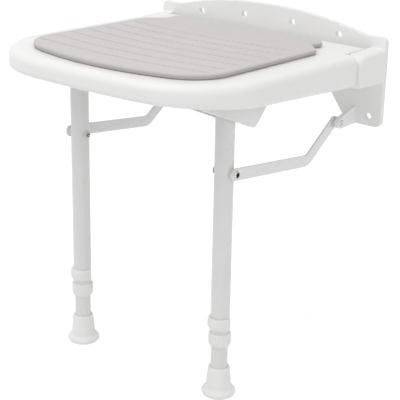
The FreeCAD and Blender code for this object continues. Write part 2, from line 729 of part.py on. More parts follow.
def leg_top_plug():
    """Plug in the top of the leg tube, bored for the pivot pin."""
    radius = PLUG_RADIUS - SEATED
    body = rod_z(radius, TUBE_TOP - PLUG_LENGTH, TUBE_TOP, LEG_X, LEG_Y)
    cap = rod_z(TUBE_RADIUS, TUBE_TOP, TUBE_TOP + PLUG_CAP, LEG_X, LEG_Y)
    cap = cap.makeChamfer(PLUG_CAP_CHAMFER, edges_at_height(cap, TUBE_TOP + PLUG_CAP))
    bore = rod_x(LEG_PIN_RADIUS + PIN_FIT, LEG_X - TUBE_RADIUS, LEG_X + TUBE_RADIUS, LEG_Y, LEG_PIVOT_Z)
    return body.fuse(cap).cut(bore)


def leg_pivot_pin():
    """Pin through the inner cheek and the leg, ending in the outer cheek."""
    shank = rod_x(LEG_PIN_RADIUS, EAR_INNER_X, EAR_OUTER_X + LEG_PIN_IN_EAR, -LEG_PIVOT_OUT, -LEG_PIVOT_DROP)
    head = rod_x(LEG_PIN_HEAD_RADIUS, EAR_INNER_X - LEG_PIN_HEAD_LENGTH, EAR_INNER_X,
                 -LEG_PIVOT_OUT, -LEG_PIVOT_DROP)
    return place_seat(shank.fuse(head))


def leg_pivot_washers():
    """Spacing washers on both sides of the leg, between tube and cheeks."""
    thickness = EAR_GAP - SPACER_SLACK
    washers = []
    for x0 in (LEG_X - TUBE_RADIUS - thickness, LEG_X + TUBE_RADIUS):
        ring = rod_x(LEG_WASHER_RADIUS, x0, x0 + thickness, LEG_Y, LEG_PIVOT_Z)
        washers.append(ring.cut(rod_x(LEG_PIN_RADIUS + PIN_FIT, x0 - MARGIN, x0 + thickness + MARGIN,
                                      LEG_Y, LEG_PIVOT_Z)))
    return Part.makeCompound(washers)


def tube_collar():
    """Fluted sleeve over the end of the leg tube, with a lip that guides the inner tube."""
    top = COLLAR_BOTTOM + COLLAR_LENGTH
    body = rod_z(COLLAR_RADIUS, COLLAR_BOTTOM, top, LEG_X, LEG_Y)
    body = body.makeChamfer(COLLAR_CHAMFER, edges_at_height(body, COLLAR_BOTTOM))
    body = body.cut(rod_z(TUBE_RADIUS + SEATED, COLLAR_BOTTOM + COLLAR_LIP, top + MARGIN, LEG_X, LEG_Y))
    body = body.cut(rod_z(INNER_RADIUS + SLIDE_FIT, COLLAR_BOTTOM - MARGIN, top, LEG_X, LEG_Y))
    away = COLLAR_RADIUS + COLLAR_FLUTE_RADIUS - COLLAR_FLUTE_DEPTH
    for i in range(COLLAR_FLUTES):
        turn = 2 * math.pi * i / COLLAR_FLUTES
        flute = rod_z(COLLAR_FLUTE_RADIUS, COLLAR_BOTTOM + COLLAR_CHAMFER + COLLAR_FLUTE_SHORT,
                      top - COLLAR_CHAMFER, LEG_X + away * math.cos(turn), LEG_Y + away * math.sin(turn))
        body = body.cut(flute)
    return body


def height_clip():
    """Saddle clip that locks the leg height: two arms round the tube, a boss and a peg in front."""
    z0 = CLIP_Z - CLIP_HEIGHT / 2
    z1 = CLIP_Z + CLIP_HEIGHT / 2
    inner = TUBE_RADIUS + SLIDE_FIT
    outer = CLIP_RADIUS
    back = LEG_Y + CLIP_ARM
    body = rod_z(outer, z0, z1, LEG_X, LEG_Y).fuse(
        box(LEG_X - outer, LEG_X + outer, LEG_Y, back, z0, z1))
    body = body.cut(box(LEG_X - 2 * outer, LEG_X + 2 * outer, back, back + 2 * outer,
                        z0 - MARGIN, z1 + MARGIN))
    boss = box(LEG_X - CLIP_BOSS_WIDTH / 2, LEG_X + CLIP_BOSS_WIDTH / 2,
               LEG_Y - inner - CLIP_BOSS_OUT, LEG_Y, z0, z1)
    boss = boss.makeFillet(CLIP_BOSS_OUT * 0.8, edges_where(boss, lambda e: e.BoundBox.YMax
                                                            < LEG_Y - inner - CLIP_BOSS_OUT + NEAR))
    body = body.fuse(boss)
    body = body.cut(rod_z(inner, z0 - MARGIN, z1 + MARGIN, LEG_X, LEG_Y))
    body = body.cut(box(LEG_X - inner, LEG_X + inner, LEG_Y, back + MARGIN, z0 - MARGIN, z1 + MARGIN))
    peg = rod_y(CLIP_PEG_RADIUS, LEG_Y - inner - CLIP_WALL, LEG_Y - TUBE_RADIUS + TUBE_WALL, LEG_X, CLIP_Z)
    trim = rod_z(TUBE_RADIUS - TUBE_WALL, z0 - MARGIN, z1 + MARGIN, LEG_X, LEG_Y)
    return body.fuse(peg.cut(trim)).removeSplitter()


def inner_tube():
    z0 = FLOOR + FOOT_FLOOR + FOOT_WASHER_THICKNESS
    z1 = FLOOR + INNER_TOP_ABOVE_FLOOR
    tube = rod_z(INNER_RADIUS, z0, z1, LEG_X, LEG_Y)
    tube = tube.cut(rod_z(INNER_RADIUS - INNER_WALL, z0 - MARGIN, z1 + MARGIN, LEG_X, LEG_Y))
    for i in range(ADJUST_HOLES):
        z = CLIP_Z + (i - 1) * ADJUST_PITCH
        tube = tube.cut(rod_y(ADJUST_HOLE_RADIUS, LEG_Y - INNER_RADIUS - MARGIN, LEG_Y, LEG_X, z))
    return tube


def foot_ferrule():
    """Rubber foot: wide rounded sole, waist and a tapered socket for the inner tube."""
    grip = INNER_RADIUS + SEATED
    rim = FOOT_FLANGE_RADIUS - FOOT_FLANGE_BEVEL
    return revolved([
        (0, FLOOR, 0),
        (FOOT_SOLE_RADIUS, FLOOR, 0),
        (rim, FLOOR + FOOT_FLANGE_LOW - FOOT_FLANGE_BEVEL, 0),
        (FOOT_FLANGE_RADIUS, FLOOR + FOOT_FLANGE_LOW, 0),
        (FOOT_FLANGE_RADIUS, FLOOR + FOOT_FLANGE_HIGH, 0),
        (rim, FLOOR + FOOT_FLANGE_HIGH + FOOT_FLANGE_BEVEL, 0),
        (FOOT_SHOULDER_RADIUS, FLOOR + FOOT_SHOULDER_HEIGHT, 0),
        (FOOT_WAIST_RADIUS, FLOOR + FOOT_WAIST_HEIGHT, 0),
        (FOOT_TOP_RADIUS, FLOOR + FOOT_HEIGHT - FOOT_TOP_CHAMFER, 0),
        (FOOT_TOP_RADIUS - FOOT_TOP_CHAMFER, FLOOR + FOOT_HEIGHT, 0),
        (grip, FLOOR + FOOT_HEIGHT, 0),
        (grip, FLOOR + FOOT_FLOOR, 0),
        (0, FLOOR + FOOT_FLOOR, 0),
    ], LEG_X, LEG_Y)


def foot_washer():
    """Steel disc that keeps the tube from cutting through the sole."""
    z0 = FLOOR + FOOT_FLOOR
    return rod_z(INNER_RADIUS - SEATED, z0, z0 + FOOT_WASHER_THICKNESS, LEG_X, LEG_Y)


# Folding links

def strap_corners():
    """Corners of the bent strap: bolt eye, bend and lug eye, with rounded ends."""
    bolt = V(0, LEG_Y, BOLT_Z)
    lug = V(0, -HINGE_OUT, LUG_Z)
    bend = lug + V(0, -BEND_OUT, -BEND_DOWN)
    half = STRAP_WIDTH / 2
    along = (bend - bolt).normalize()
    onward = (lug - bend).normalize()
    up_a = V(0, -along.z, along.y)
    up_b = V(0, -onward.z, onward.y)
    mitre = (up_a + up_b).normalize()
    spread = half / mitre.dot(up_a)
    spots = [
        (bolt - along * half + up_a * half, half),
        (bolt - along * half - up_a * half, half),
        (bend - mitre * spread, BEND_RADIUS + half),
        (lug + onward * half - up_b * half, half),
        (lug + onward * half + up_b * half, half),
        (bend + mitre * spread, BEND_RADIUS - half),
    ]
    return [(spot.y, spot.z, radius) for spot, radius in spots]


def link_strap():
    strap = prism_x(strap_corners(), STRAP_X, STRAP_X + STRAP_THICKNESS)
    x0 = STRAP_X - MARGIN
    x1 = STRAP_X + STRAP_THICKNESS + MARGIN
    bolt_eye = rod_x(BOLT_RADIUS + OPEN_PIVOT_FIT, x0, x1, LEG_Y, BOLT_Z)
    lug_eye = rod_x(LINK_PIN_RADIUS + PIN_FIT, x0, x1, -HINGE_OUT, LUG_Z)
    return strap.cut(bolt_eye).cut(lug_eye)


def link_bolt():
    """Domed bolt through strap and leg tube."""
    x_head = STRAP_X + STRAP_THICKNESS + SPACER_SLACK
    x_end = LEG_X - TUBE_RADIUS - LINK_WASHER_THICKNESS - NUT_HEIGHT - BOLT_END
    shank = rod_x(BOLT_RADIUS, x_end, x_head, LEG_Y, BOLT_Z)
    radius = (BOLT_HEAD_RADIUS ** 2 + BOLT_HEAD_HEIGHT ** 2) / (2 * BOLT_HEAD_HEIGHT)
    ball = Part.makeSphere(radius, V(x_head + BOLT_HEAD_HEIGHT - radius, LEG_Y, BOLT_Z))
    dome = ball.common(box(x_head, x_head + 2 * radius, LEG_Y - radius, LEG_Y + radius,
                           BOLT_Z - radius, BOLT_Z + radius))
    return shank.fuse(dome)


def link_nut():
    x1 = LEG_X - TUBE_RADIUS - LINK_WASHER_THICKNESS
    corner = NUT_ACROSS_FLATS / (2 * math.cos(math.radians(30)))
    points = [(LEG_Y + corner * math.cos(math.radians(60 * i)),
               BOLT_Z + corner * math.sin(math.radians(60 * i)), 0) for i in range(6)]
    nut = prism_x(points, x1 - NUT_HEIGHT, x1)
    return nut.cut(rod_x(BOLT_RADIUS, x1 - NUT_HEIGHT - MARGIN, x1 + MARGIN, LEG_Y, BOLT_Z))


def link_washers():
    """Washer under the nut, and the spacer that keeps the strap clear of tube and clip."""
    washers = []
    for x0, thickness in ((LEG_X - TUBE_RADIUS - LINK_WASHER_THICKNESS, LINK_WASHER_THICKNESS),
                          (LEG_X + TUBE_RADIUS, STRAP_X - LEG_X - TUBE_RADIUS - SPACER_SLACK)):
        ring = rod_x(LINK_WASHER_RADIUS, x0, x0 + thickness, LEG_Y, BOLT_Z)
        washers.append(ring.cut(rod_x(BOLT_RADIUS + SEATED, x0 - MARGIN, x0 + thickness + MARGIN,
                                      LEG_Y, BOLT_Z)))
    return Part.makeCompound(washers)


def lug_pin():
    """Rivet that hangs the strap on its lug."""
    x0 = STRAP_X - SPACER_SLACK
    x1 = LUG_X + LUG_THICKNESS
    shank = rod_x(LINK_PIN_RADIUS, x0, x1 + LINK_TAIL_LENGTH, -HINGE_OUT, LUG_Z)
    head = rod_x(LINK_HEAD_RADIUS, x0 - LINK_HEAD_LENGTH, x0, -HINGE_OUT, LUG_Z)
    head = head.makeChamfer(LINK_HEAD_CHAMFER,
                            edges_where(head, lambda e: e.BoundBox.XMax < x0 - LINK_HEAD_LENGTH + NEAR))
    tail = rod_x(LINK_TAIL_RADIUS, x1, x1 + LINK_TAIL_LENGTH, -HINGE_OUT, LUG_Z)
    return shank.fuse(head).fuse(tail)


def lug_spacer():
    """Waisted spacer on the rivet, between strap and lug."""
    x0 = STRAP_X + STRAP_THICKNESS + SPACER_SLACK
    length = LUG_X - x0
    spacer = rod_x(SPACER_WAIST, x0, LUG_X, -HINGE_OUT, LUG_Z)
    for start in (x0, LUG_X - length / 3):
        spacer = spacer.fuse(rod_x(SPACER_RADIUS, start, start + length / 3, -HINGE_OUT, LUG_Z))
    return spacer.cut(rod_x(LINK_PIN_RADIUS, x0 - MARGIN, LUG_X + MARGIN, -HINGE_OUT, LUG_Z))


# Files

CENTRE_NODES = {
    "wall_bracket": wall_bracket,
    "seat_shell": seat_shell,
    "seat_pad": seat_pad,
    "pad_studs": pad_studs,
}

SIDE_NODES = {
    "hinge_pin": hinge_pin,
    "hinge_bush": lambda: place_seat(hinge_bush()),
    "leg_tube": leg_tube,
    "leg_top_plug": leg_top_plug,
    "leg_pivot_pin": leg_pivot_pin,
    "leg_pivot_washers": leg_pivot_washers,
    "tube_collar": tube_collar,
    "height_clip": height_clip,
    "inner_tube": inner_tube,
    "foot_ferrule": foot_ferrule,
    "foot_washer": foot_washer,
    "link_strap": link_strap,
    "link_bolt": link_bolt,
    "link_nut": link_nut,
    "link_washers": link_washers,
    "lug_pin": lug_pin,
    "lug_spacer": lug_spacer,
}


def main():
    os.makedirs("parts", exist_ok=True)
    for name, build in CENTRE_NODES.items():
        build().exportStep("parts/" + name + ".step")
    for name, build in SIDE_NODES.items():
        shape = build()
        shape.exportStep("parts/right_" + name + ".step")
        mirrored(shape).exportStep("parts/left_" + name + ".step")


main()
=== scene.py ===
import bpy
import bmesh
import math
from mathutils import Matrix, Vector
from mathutils.geometry import delaunay_2d_cdt


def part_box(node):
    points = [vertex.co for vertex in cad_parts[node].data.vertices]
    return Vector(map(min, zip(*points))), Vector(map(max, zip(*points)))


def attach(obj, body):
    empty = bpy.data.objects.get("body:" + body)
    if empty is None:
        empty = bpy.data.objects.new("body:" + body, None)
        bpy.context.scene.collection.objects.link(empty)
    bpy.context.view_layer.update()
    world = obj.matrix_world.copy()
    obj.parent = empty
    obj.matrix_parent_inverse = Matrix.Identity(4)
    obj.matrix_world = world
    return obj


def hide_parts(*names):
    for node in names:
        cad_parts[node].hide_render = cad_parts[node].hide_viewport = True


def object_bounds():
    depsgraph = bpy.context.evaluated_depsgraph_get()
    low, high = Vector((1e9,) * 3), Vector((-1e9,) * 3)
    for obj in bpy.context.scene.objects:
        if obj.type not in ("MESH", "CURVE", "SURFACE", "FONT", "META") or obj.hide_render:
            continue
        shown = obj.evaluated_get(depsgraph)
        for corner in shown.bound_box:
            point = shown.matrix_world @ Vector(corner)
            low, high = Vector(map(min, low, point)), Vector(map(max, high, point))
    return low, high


bl_info = {
    "name": "Fold down wall seat",
    "version": (1, 0, 0),
    "blender": (4, 5, 0),
    "location": "View3D > Sidebar > Wall seat",
    "description": "Builds the looks of a padded fold down wall seat on its CAD parts",
    "category": "Add Mesh",
}

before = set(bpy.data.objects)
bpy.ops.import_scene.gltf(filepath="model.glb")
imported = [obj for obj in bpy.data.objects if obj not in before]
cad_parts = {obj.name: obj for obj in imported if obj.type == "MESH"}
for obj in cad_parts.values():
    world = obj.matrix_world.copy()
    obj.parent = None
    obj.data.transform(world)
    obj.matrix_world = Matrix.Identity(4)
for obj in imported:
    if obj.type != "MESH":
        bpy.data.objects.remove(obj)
CAD_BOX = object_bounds()
MM = 0.001

# Places that the CAD solids give, in metres
HINGE_OUT = 0.049
SEAT_RISE = math.radians(2.0)
SIDES = ("right", "left")


def middle(node):
    """Middle of a CAD node's box at rest."""
    low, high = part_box(node)
    return (low + high) / 2


FLOOR = CAD_BOX[0].z
COLLAR_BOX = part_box("right_tube_collar")
CLIP_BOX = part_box("right_height_clip")
NUT_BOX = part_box("right_link_nut")
LUG_PIN_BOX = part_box("right_lug_pin")


# Settings

def number(name, description, default, **options):
    return bpy.props.FloatProperty(name=name, description=description, default=default, **options)


def length(name, description, default):
    return number(name, description, default, subtype="DISTANCE", unit="LENGTH", precision=5)


def angle(name, description, degrees):
    return number(name, description, math.radians(degrees), subtype="ANGLE", unit="ROTATION")


def factor(name, description, default):
    return number(name, description, default, min=0.0, max=1.0, subtype="FACTOR")


def colour(name, description, default):
    return bpy.props.FloatVectorProperty(name=name, description=description, default=default,
                                         size=3, min=0.0, max=1.0, subtype="COLOR")


class WALLSEAT_PG_pad(bpy.types.PropertyGroup):
    crown: length("Crown", "Rise of the pad's middle over its sides", 0.0014)
    edge: length("Edge round", "Radius of the upper edge", 0.0030)
    channel_width: length("Channel width", "Width of a cross channel", 0.0046)
    channel_depth: length("Channel depth", "Depth of a cross channel", 0.0027)
    swell: length("Swell", "Rise of the foam between two channels", 0.0005)
    grain: factor("Grain", "Strength of the skin's fine grain", 0.16)
    colour: colour("Colour", "Colour of the foam's skin", (0.628, 0.602, 0.596))


class WALLSEAT_PG_collar(bpy.types.PropertyGroup):
    lobes: bpy.props.IntProperty(name="Lobes", description="Grip lobes round a collar",
                                 default=16, min=3)
    lobe_rise: length("Lobe rise", "Height of a lobe over the sleeve", 0.0011)
    clip_bulge: length("Clip bulge", "How far the clip's thumb pad stands out", 0.0038)


class WALLSEAT_PG_foot(bpy.types.PropertyGroup):
    flange: length("Flange radius", "Radius of the foot's rolled rim", 0.0258)
    waist: length("Waist radius", "Radius of the cone over the rim", 0.0196)
    top: length("Top radius", "Radius of the socket's mouth", 0.0164)
    tread_blocks: bpy.props.IntProperty(name="Tread blocks", description="Blocks round the sole",
                                        default=18, min=3)
    tread_depth: length("Tread depth", "Depth of the tread under the sole", 0.0010)


class WALLSEAT_PG_link(bpy.types.PropertyGroup):
    strap_edge: length("Strap edge", "Rounding of the strap's edges", 0.0007)
    dome_radius: length("Dome radius", "Radius of a bolt's domed head", 0.0055)
    dome_rise: length("Dome rise", "Height of a bolt's head over the strap", 0.0026)
    socket_radius: length("Socket radius", "Radius of the hex socket in the head", 0.0026)
    nut_flats: length("Nut size", "Distance across the nut's flats", 0.0076)
    nut_height: length("Nut height", "Height of the low lock nut", 0.0024)


class WALLSEAT_PG_finish(bpy.types.PropertyGroup):
    moulding: colour("Moulding", "Colour of the seat and bracket", (0.915, 0.912, 0.905))
    paint: colour("Leg paint", "Colour of the tubes", (0.806, 0.809, 0.799))
    strap: colour("Strap paint", "Colour of the folding links", (0.870, 0.872, 0.865))
    collar: colour("Collar", "Colour of the collars and clips", (0.900, 0.900, 0.892))
    rubber: colour("Rubber", "Colour of the feet", (0.930, 0.925, 0.915))
    steel: colour("Steel", "Colour of bare steel", (0.560, 0.560, 0.570))
    nylon: colour("Nylon", "Colour of bushes and washers", (0.800, 0.795, 0.760))


class WALLSEAT_PG_stage(bpy.types.PropertyGroup):
    camera_place: bpy.props.FloatVectorProperty(
        name="Camera place", description="Where the camera stands",
        default=(1.09929, -1.60404, 0.44415), size=3, subtype="TRANSLATION", unit="LENGTH")
    azimuth: angle("Azimuth", "Turn of the camera round the object", 37.652)
    elevation: angle("Elevation", "Height of the camera over the horizon", 20.354)
    roll: angle("Roll", "Turn of the camera about its own axis", 1.12)
    focal_length: number("Focal length", "Focal length of the lens in millimetres", 107.73,
                         subtype="DISTANCE_CAMERA")
    ambient: number("Ambient", "Level of the even light", 0.62, min=0.0)
    key: number("Key lamp", "Power of the large lamp overhead", 26.0, min=0.0)
    side: number("Side lamp", "Power of the lamp at the right", 4.6, min=0.0)
    floor_lift: number("Floor lift", "Brightness that the camera sees on top of the floor's own",
                       0.40, min=0.0)


# Materials

WHITE = (1.0, 1.0, 1.0, 1.0)
# Painted dark reflection and shade for the rings on the bolt heads and nuts
PAINTED_REFLECTION_DARK = (0.030, 0.030, 0.033, 1.0)
# Painted shade: colour multiplied onto the pad's side band
PAINTED_SIDE_SHADE = (0.74, 0.74, 0.74, 1.0)


def new_material(name):
    material = bpy.data.materials.new(name)
    material.use_nodes = True
    tree = material.node_tree
    return material, tree, tree.nodes["Principled BSDF"]


def set_inputs(node, **values):
    """Sets a node's inputs by their names, with an underscore for each space."""
    for name, value in values.items():
        node.inputs[name.replace("_", " ")].default_value = value


def maths(tree, operation, *values):
    """Output of a math node fed by numbers or by other nodes' outputs."""
    node = tree.nodes.new("ShaderNodeMath")
    node.operation = operation
    for socket, value in zip(node.inputs, values):
        if isinstance(value, float):
            socket.default_value = value
        else:
            tree.links.new(value, socket)
    return node.outputs[0]


def remapped(tree, value, low, high, to_low, to_high):
    """Output that spreads value from one range to another and holds it at the ends."""
    spread = tree.nodes.new("ShaderNodeMapRange")
    set_inputs(spread, From_Min=low, From_Max=high, To_Min=to_low, To_Max=to_high)
    tree.links.new(value, spread.inputs["Value"])
    return spread.outputs["Result"]


def recoloured(tree, shader, factor, other, blend_type):
    """Blends the shader's present colour with another one by a factor."""
    plain = shader.inputs["Base Color"].links[0].from_socket
    blend = tree.nodes.new("ShaderNodeMix")
    blend.data_type = "RGBA"
    blend.blend_type = blend_type
    blend.inputs["B"].default_value = other
    tree.links.new(factor, blend.inputs["Factor"])
    tree.links.new(plain, blend.inputs["A"])
    tree.links.new(blend.outputs["Result"], shader.inputs["Base Color"])


def textured(tree, kind, scale, **sockets):
    """A texture node that reads object coordinates."""
    place = tree.nodes.get("Texture Coordinate") or tree.nodes.new("ShaderNodeTexCoord")
    texture = tree.nodes.new(kind)
    set_inputs(texture, Scale=scale, **sockets)
    tree.links.new(place.outputs["Object"], texture.inputs["Vector"])
    return texture


def mottle(tree, shader, base, scale, spread):
    """Colour that wanders softly about base."""
    noise = textured(tree, "ShaderNodeTexNoise", scale, Detail=3.0, Roughness=0.6)
    ramp = tree.nodes.new("ShaderNodeValToRGB")
    low, high = ramp.color_ramp.elements
    low.position, high.position = 0.35, 0.65
    low.color = tuple(max(0.0, c * (1 - spread)) for c in base) + (1.0,)
    high.color = tuple(min(1.0, c * (1 + spread)) for c in base) + (1.0,)
    tree.links.new(noise.outputs["Fac"], ramp.inputs["Fac"])
    tree.links.new(ramp.outputs["Color"], shader.inputs["Base Color"])


def uneven_gloss(tree, shader, scale, low, high):
    """Roughness that varies between low and high."""
    noise = textured(tree, "ShaderNodeTexNoise", scale, Detail=4.0, Roughness=0.55)
    gloss = remapped(tree, noise.outputs["Fac"], 0.3, 0.7, low, high)
    tree.links.new(gloss, shader.inputs["Roughness"])


def relief(tree, shader, textures, strength, height):
    """Bump from one texture output or the product of several."""
    value = textures[0]
    for other in textures[1:]:
        value = maths(tree, "MULTIPLY", value, other)
    bump = tree.nodes.new("ShaderNodeBump")
    set_inputs(bump, Strength=strength, Distance=height)
    tree.links.new(value, bump.inputs["Height"])
    tree.links.new(bump.outputs["Normal"], shader.inputs["Normal"])


def moulded_plastic(name, base, low=0.34, high=0.44, texture_scale=1400.0, strength=0.05):
    """Satin moulding with a faint spark-eroded texture and uneven gloss."""
    material, tree, shader = new_material(name)
    mottle(tree, shader, base, 14.0, 0.010)
    uneven_gloss(tree, shader, 45.0, low, high)
    fine = textured(tree, "ShaderNodeTexNoise", texture_scale, Detail=2.0, Roughness=0.5)
    relief(tree, shader, [fine.outputs["Fac"]], strength, 0.0002)
    set_inputs(shader, IOR=1.46)
    return material


def powder_coat(name, base):
    """White powder coat: slight orange peel over a smooth gloss."""
    material, tree, shader = new_material(name)
    mottle(tree, shader, base, 20.0, 0.012)
    uneven_gloss(tree, shader, 60.0, 0.26, 0.36)
    peel = textured(tree, "ShaderNodeTexNoise", 520.0, Detail=1.5, Roughness=0.45)
    relief(tree, shader, [peel.outputs["Fac"]], 0.10, 0.0003)
    set_inputs(shader, IOR=1.5)
    return material


def foam_skin(name, base, grain):
    """Matt skin of moulded foam with a fine leather-like grain and painted shade on the pad's sides."""
    material, tree, shader = new_material(name)
    mottle(tree, shader, base, 16.0, 0.014)
    uneven_gloss(tree, shader, 90.0, 0.50, 0.62)
    cells = textured(tree, "ShaderNodeTexVoronoi", 1150.0, Randomness=0.9)
    cells.feature = "DISTANCE_TO_EDGE"
    cloud = textured(tree, "ShaderNodeTexNoise", 380.0, Detail=3.0, Roughness=0.6)
    relief(tree, shader, [cells.outputs["Distance"], cloud.outputs["Fac"]], grain, 0.0006)
    # Painted shade: the stored side value darkens the colour down the pad's side band
    side = tree.nodes.new("ShaderNodeAttribute")
    side.attribute_name = "side"
    recoloured(tree, shader, side.outputs["Fac"], PAINTED_SIDE_SHADE, "MULTIPLY")
    set_inputs(shader, Sheen_Weight=0.06, Sheen_Roughness=0.5)
    return material


def soft_rubber(name, base):
    """Matt white rubber with a dusty bloom."""
    material, tree, shader = new_material(name)
    mottle(tree, shader, base, 30.0, 0.02)
    uneven_gloss(tree, shader, 80.0, 0.52, 0.66)
    skin = textured(tree, "ShaderNodeTexNoise", 1800.0, Detail=3.0, Roughness=0.6)
    relief(tree, shader, [skin.outputs["Fac"]], 0.10, 0.0002)
    return material


def bright_steel(name, base, low, high):
    """Turned and plated steel with fine tool marks."""
    material, tree, shader = new_material(name)
    mottle(tree, shader, base, 160.0, 0.06)
    uneven_gloss(tree, shader, 300.0, low, high)
    marks = textured(tree, "ShaderNodeTexNoise", 900.0, Detail=2.0, Roughness=0.5)
    relief(tree, shader, [marks.outputs["Fac"]], 0.06, 0.0001)
    set_inputs(shader, Metallic=1.0)
    return material


def dark_ring(material, hub, low, high):
    """Paints a steel dark between two distances from the line along X through hub: a painted dark
    reflection and painted shade.
    """
    tree = material.node_tree
    across = tree.nodes.new("ShaderNodeVectorMath")
    across.operation = "MULTIPLY"
    across.inputs[1].default_value = (0.0, 1.0, 1.0)
    away = tree.nodes.new("ShaderNodeVectorMath")
    away.operation = "DISTANCE"
    away.inputs[1].default_value = (0.0, hub.y, hub.z)
    tree.links.new(tree.nodes["Texture Coordinate"].outputs["Object"], across.inputs[0])
    tree.links.new(across.outputs["Vector"], away.inputs[0])
    half = (high - low) / 2
    off_ring = maths(tree, "ABSOLUTE", maths(tree, "SUBTRACT", away.outputs["Value"], low + half))
    dark = remapped(tree, off_ring, half * 0.8, half, 1.0, 0.0)
    recoloured(tree, tree.nodes["Principled BSDF"], dark, PAINTED_REFLECTION_DARK, "MIX")


def set_material(piece, material):
    piece.data.materials.clear()
    piece.data.materials.append(material)


# Mesh helpers

def level_to_row(x, y, z):
    """A point of the level seat, in millimetres from the hinge axis, in the row's frame."""
    cos, sin = math.cos(SEAT_RISE), math.sin(SEAT_RISE)
    y, z = y * MM, z * MM
    return Vector((x * MM, -HINGE_OUT + y * cos + z * sin, -y * sin + z * cos))


def placed(name, data):
    """New object of that data in the scene."""
    item = bpy.data.objects.new(name, data)
    bpy.context.scene.collection.objects.link(item)
    return item


def evaluated_mesh(item):
    """New mesh of an object with its modifiers applied."""
    shown = item.evaluated_get(bpy.context.evaluated_depsgraph_get())
    return bpy.data.meshes.new_from_object(shown)


def piece_from(name, vertices, faces, material, sharp=math.radians(40)):
    mesh = bpy.data.meshes.new(name)
    mesh.from_pydata([tuple(v) for v in vertices], [], faces)
    mesh.materials.append(material)
    mesh.update()
    work = bmesh.new()
    work.from_mesh(mesh)
    bmesh.ops.remove_doubles(work, verts=work.verts, dist=1e-6)
    bmesh.ops.recalc_face_normals(work, faces=work.faces)
    work.to_mesh(mesh)
    work.free()
    mesh.shade_smooth()
    mesh.set_sharp_from_angle(angle=sharp)
    return placed(name, mesh)


def arc_points(centre, radius, start, end, step):
    count = max(2, int(abs(end - start) * radius / step) + 1)
    turns = [start + (end - start) * i / (count - 1) for i in range(count)]
    return [(centre[0] + radius * math.cos(t), centre[1] + radius * math.sin(t)) for t in turns]


def line_points(a, b, step):
    count = max(1, int(math.dist(a, b) / step))
    return [(a[0] + (b[0] - a[0]) * i / count, a[1] + (b[1] - a[1]) * i / count)
            for i in range(count + 1)]


def rounding(before, corner, after, radius, step):
    """Points of the arc that rounds a corner between two straight runs."""
    a, c, b = Vector(before), Vector(corner), Vector(after)
    u, w = (a - c).normalized(), (b - c).normalized()
    half = math.acos(max(-1.0, min(1.0, u.dot(w)))) / 2
    start, end = c + u * radius / math.tan(half), c + w * radius / math.tan(half)
    centre = c + (u + w).normalized() * radius / math.sin(half)
    t0 = math.atan2(start.y - centre.y, start.x - centre.x)
    t1 = math.atan2(end.y - centre.y, end.x - centre.x)
    while t1 - t0 > math.pi:
        t1 -= 2 * math.pi
    while t1 - t0 < -math.pi:
        t1 += 2 * math.pi
    return arc_points(centre, radius, t0, t1, step)


def chained(*runs):
    """One list of points from several runs, without repeats."""
    points = []
    for run in runs:
        for point in run:
            if not points or math.dist(points[-1], point) > 0.05:
                points.append(point)
    return points


def grid_faces(rows, columns, closed_rows=False):
    """Quads between rows of columns points each, every row a closed ring."""
    faces = []
    for r in range(rows if closed_rows else rows - 1):
        below, above = r * columns, (r + 1) % rows * columns
        for i in range(columns):
            j = (i + 1) % columns
            faces.append((below + i, below + j, above + j, above + i))
    return faces


def turned(profile, centre, segments=96, along_x=False):
    """Vertices and faces of a closed profile (radius, height) turned about an axis at centre."""
    vertices = []
    for k in range(segments):
        t = 2 * math.pi * k / segments
        for radius, height in profile:
            if along_x:
                spot = Vector((height, radius * math.cos(t), radius * math.sin(t)))
            else:
                spot = Vector((radius * math.cos(t), radius * math.sin(t), height))
            vertices.append(centre + spot)
    return vertices, grid_faces(segments, len(profile), closed_rows=True)


def joined(*meshes):
    """One list of vertices and one of faces from several."""
    vertices, faces = [], []
    for more_vertices, more_faces in meshes:
        offset = len(vertices)
        vertices += list(more_vertices)
        faces += [tuple(offset + i for i in face) for face in more_faces]
    return vertices, faces


def soft_corners(corners, radius, steps=4):
    """Closed outline of (a, b) corners with every corner eased by an arc of points."""
    points = []
    for i, corner in enumerate(corners):
        before, after = Vector(corners[i - 1]), Vector(corners[(i + 1) % len(corners)])
        spot = Vector(corner)
        reach = min(radius, (before - spot).length / 2.1, (after - spot).length / 2.1)
        start = spot + (before - spot).normalized() * reach
        end = spot + (after - spot).normalized() * reach
        for k in range(steps + 1):
            t = k / steps
            eased = start * (1 - t) ** 2 + spot * 2 * t * (1 - t) + end * t ** 2
            points.append((eased.x, eased.y))
    return points


def on_side(side, spot):
    """A place of the right half, or its mirror image."""
    return Vector((spot.x if side == "right" else -spot.x, spot.y, spot.z))


# Repeating pieces

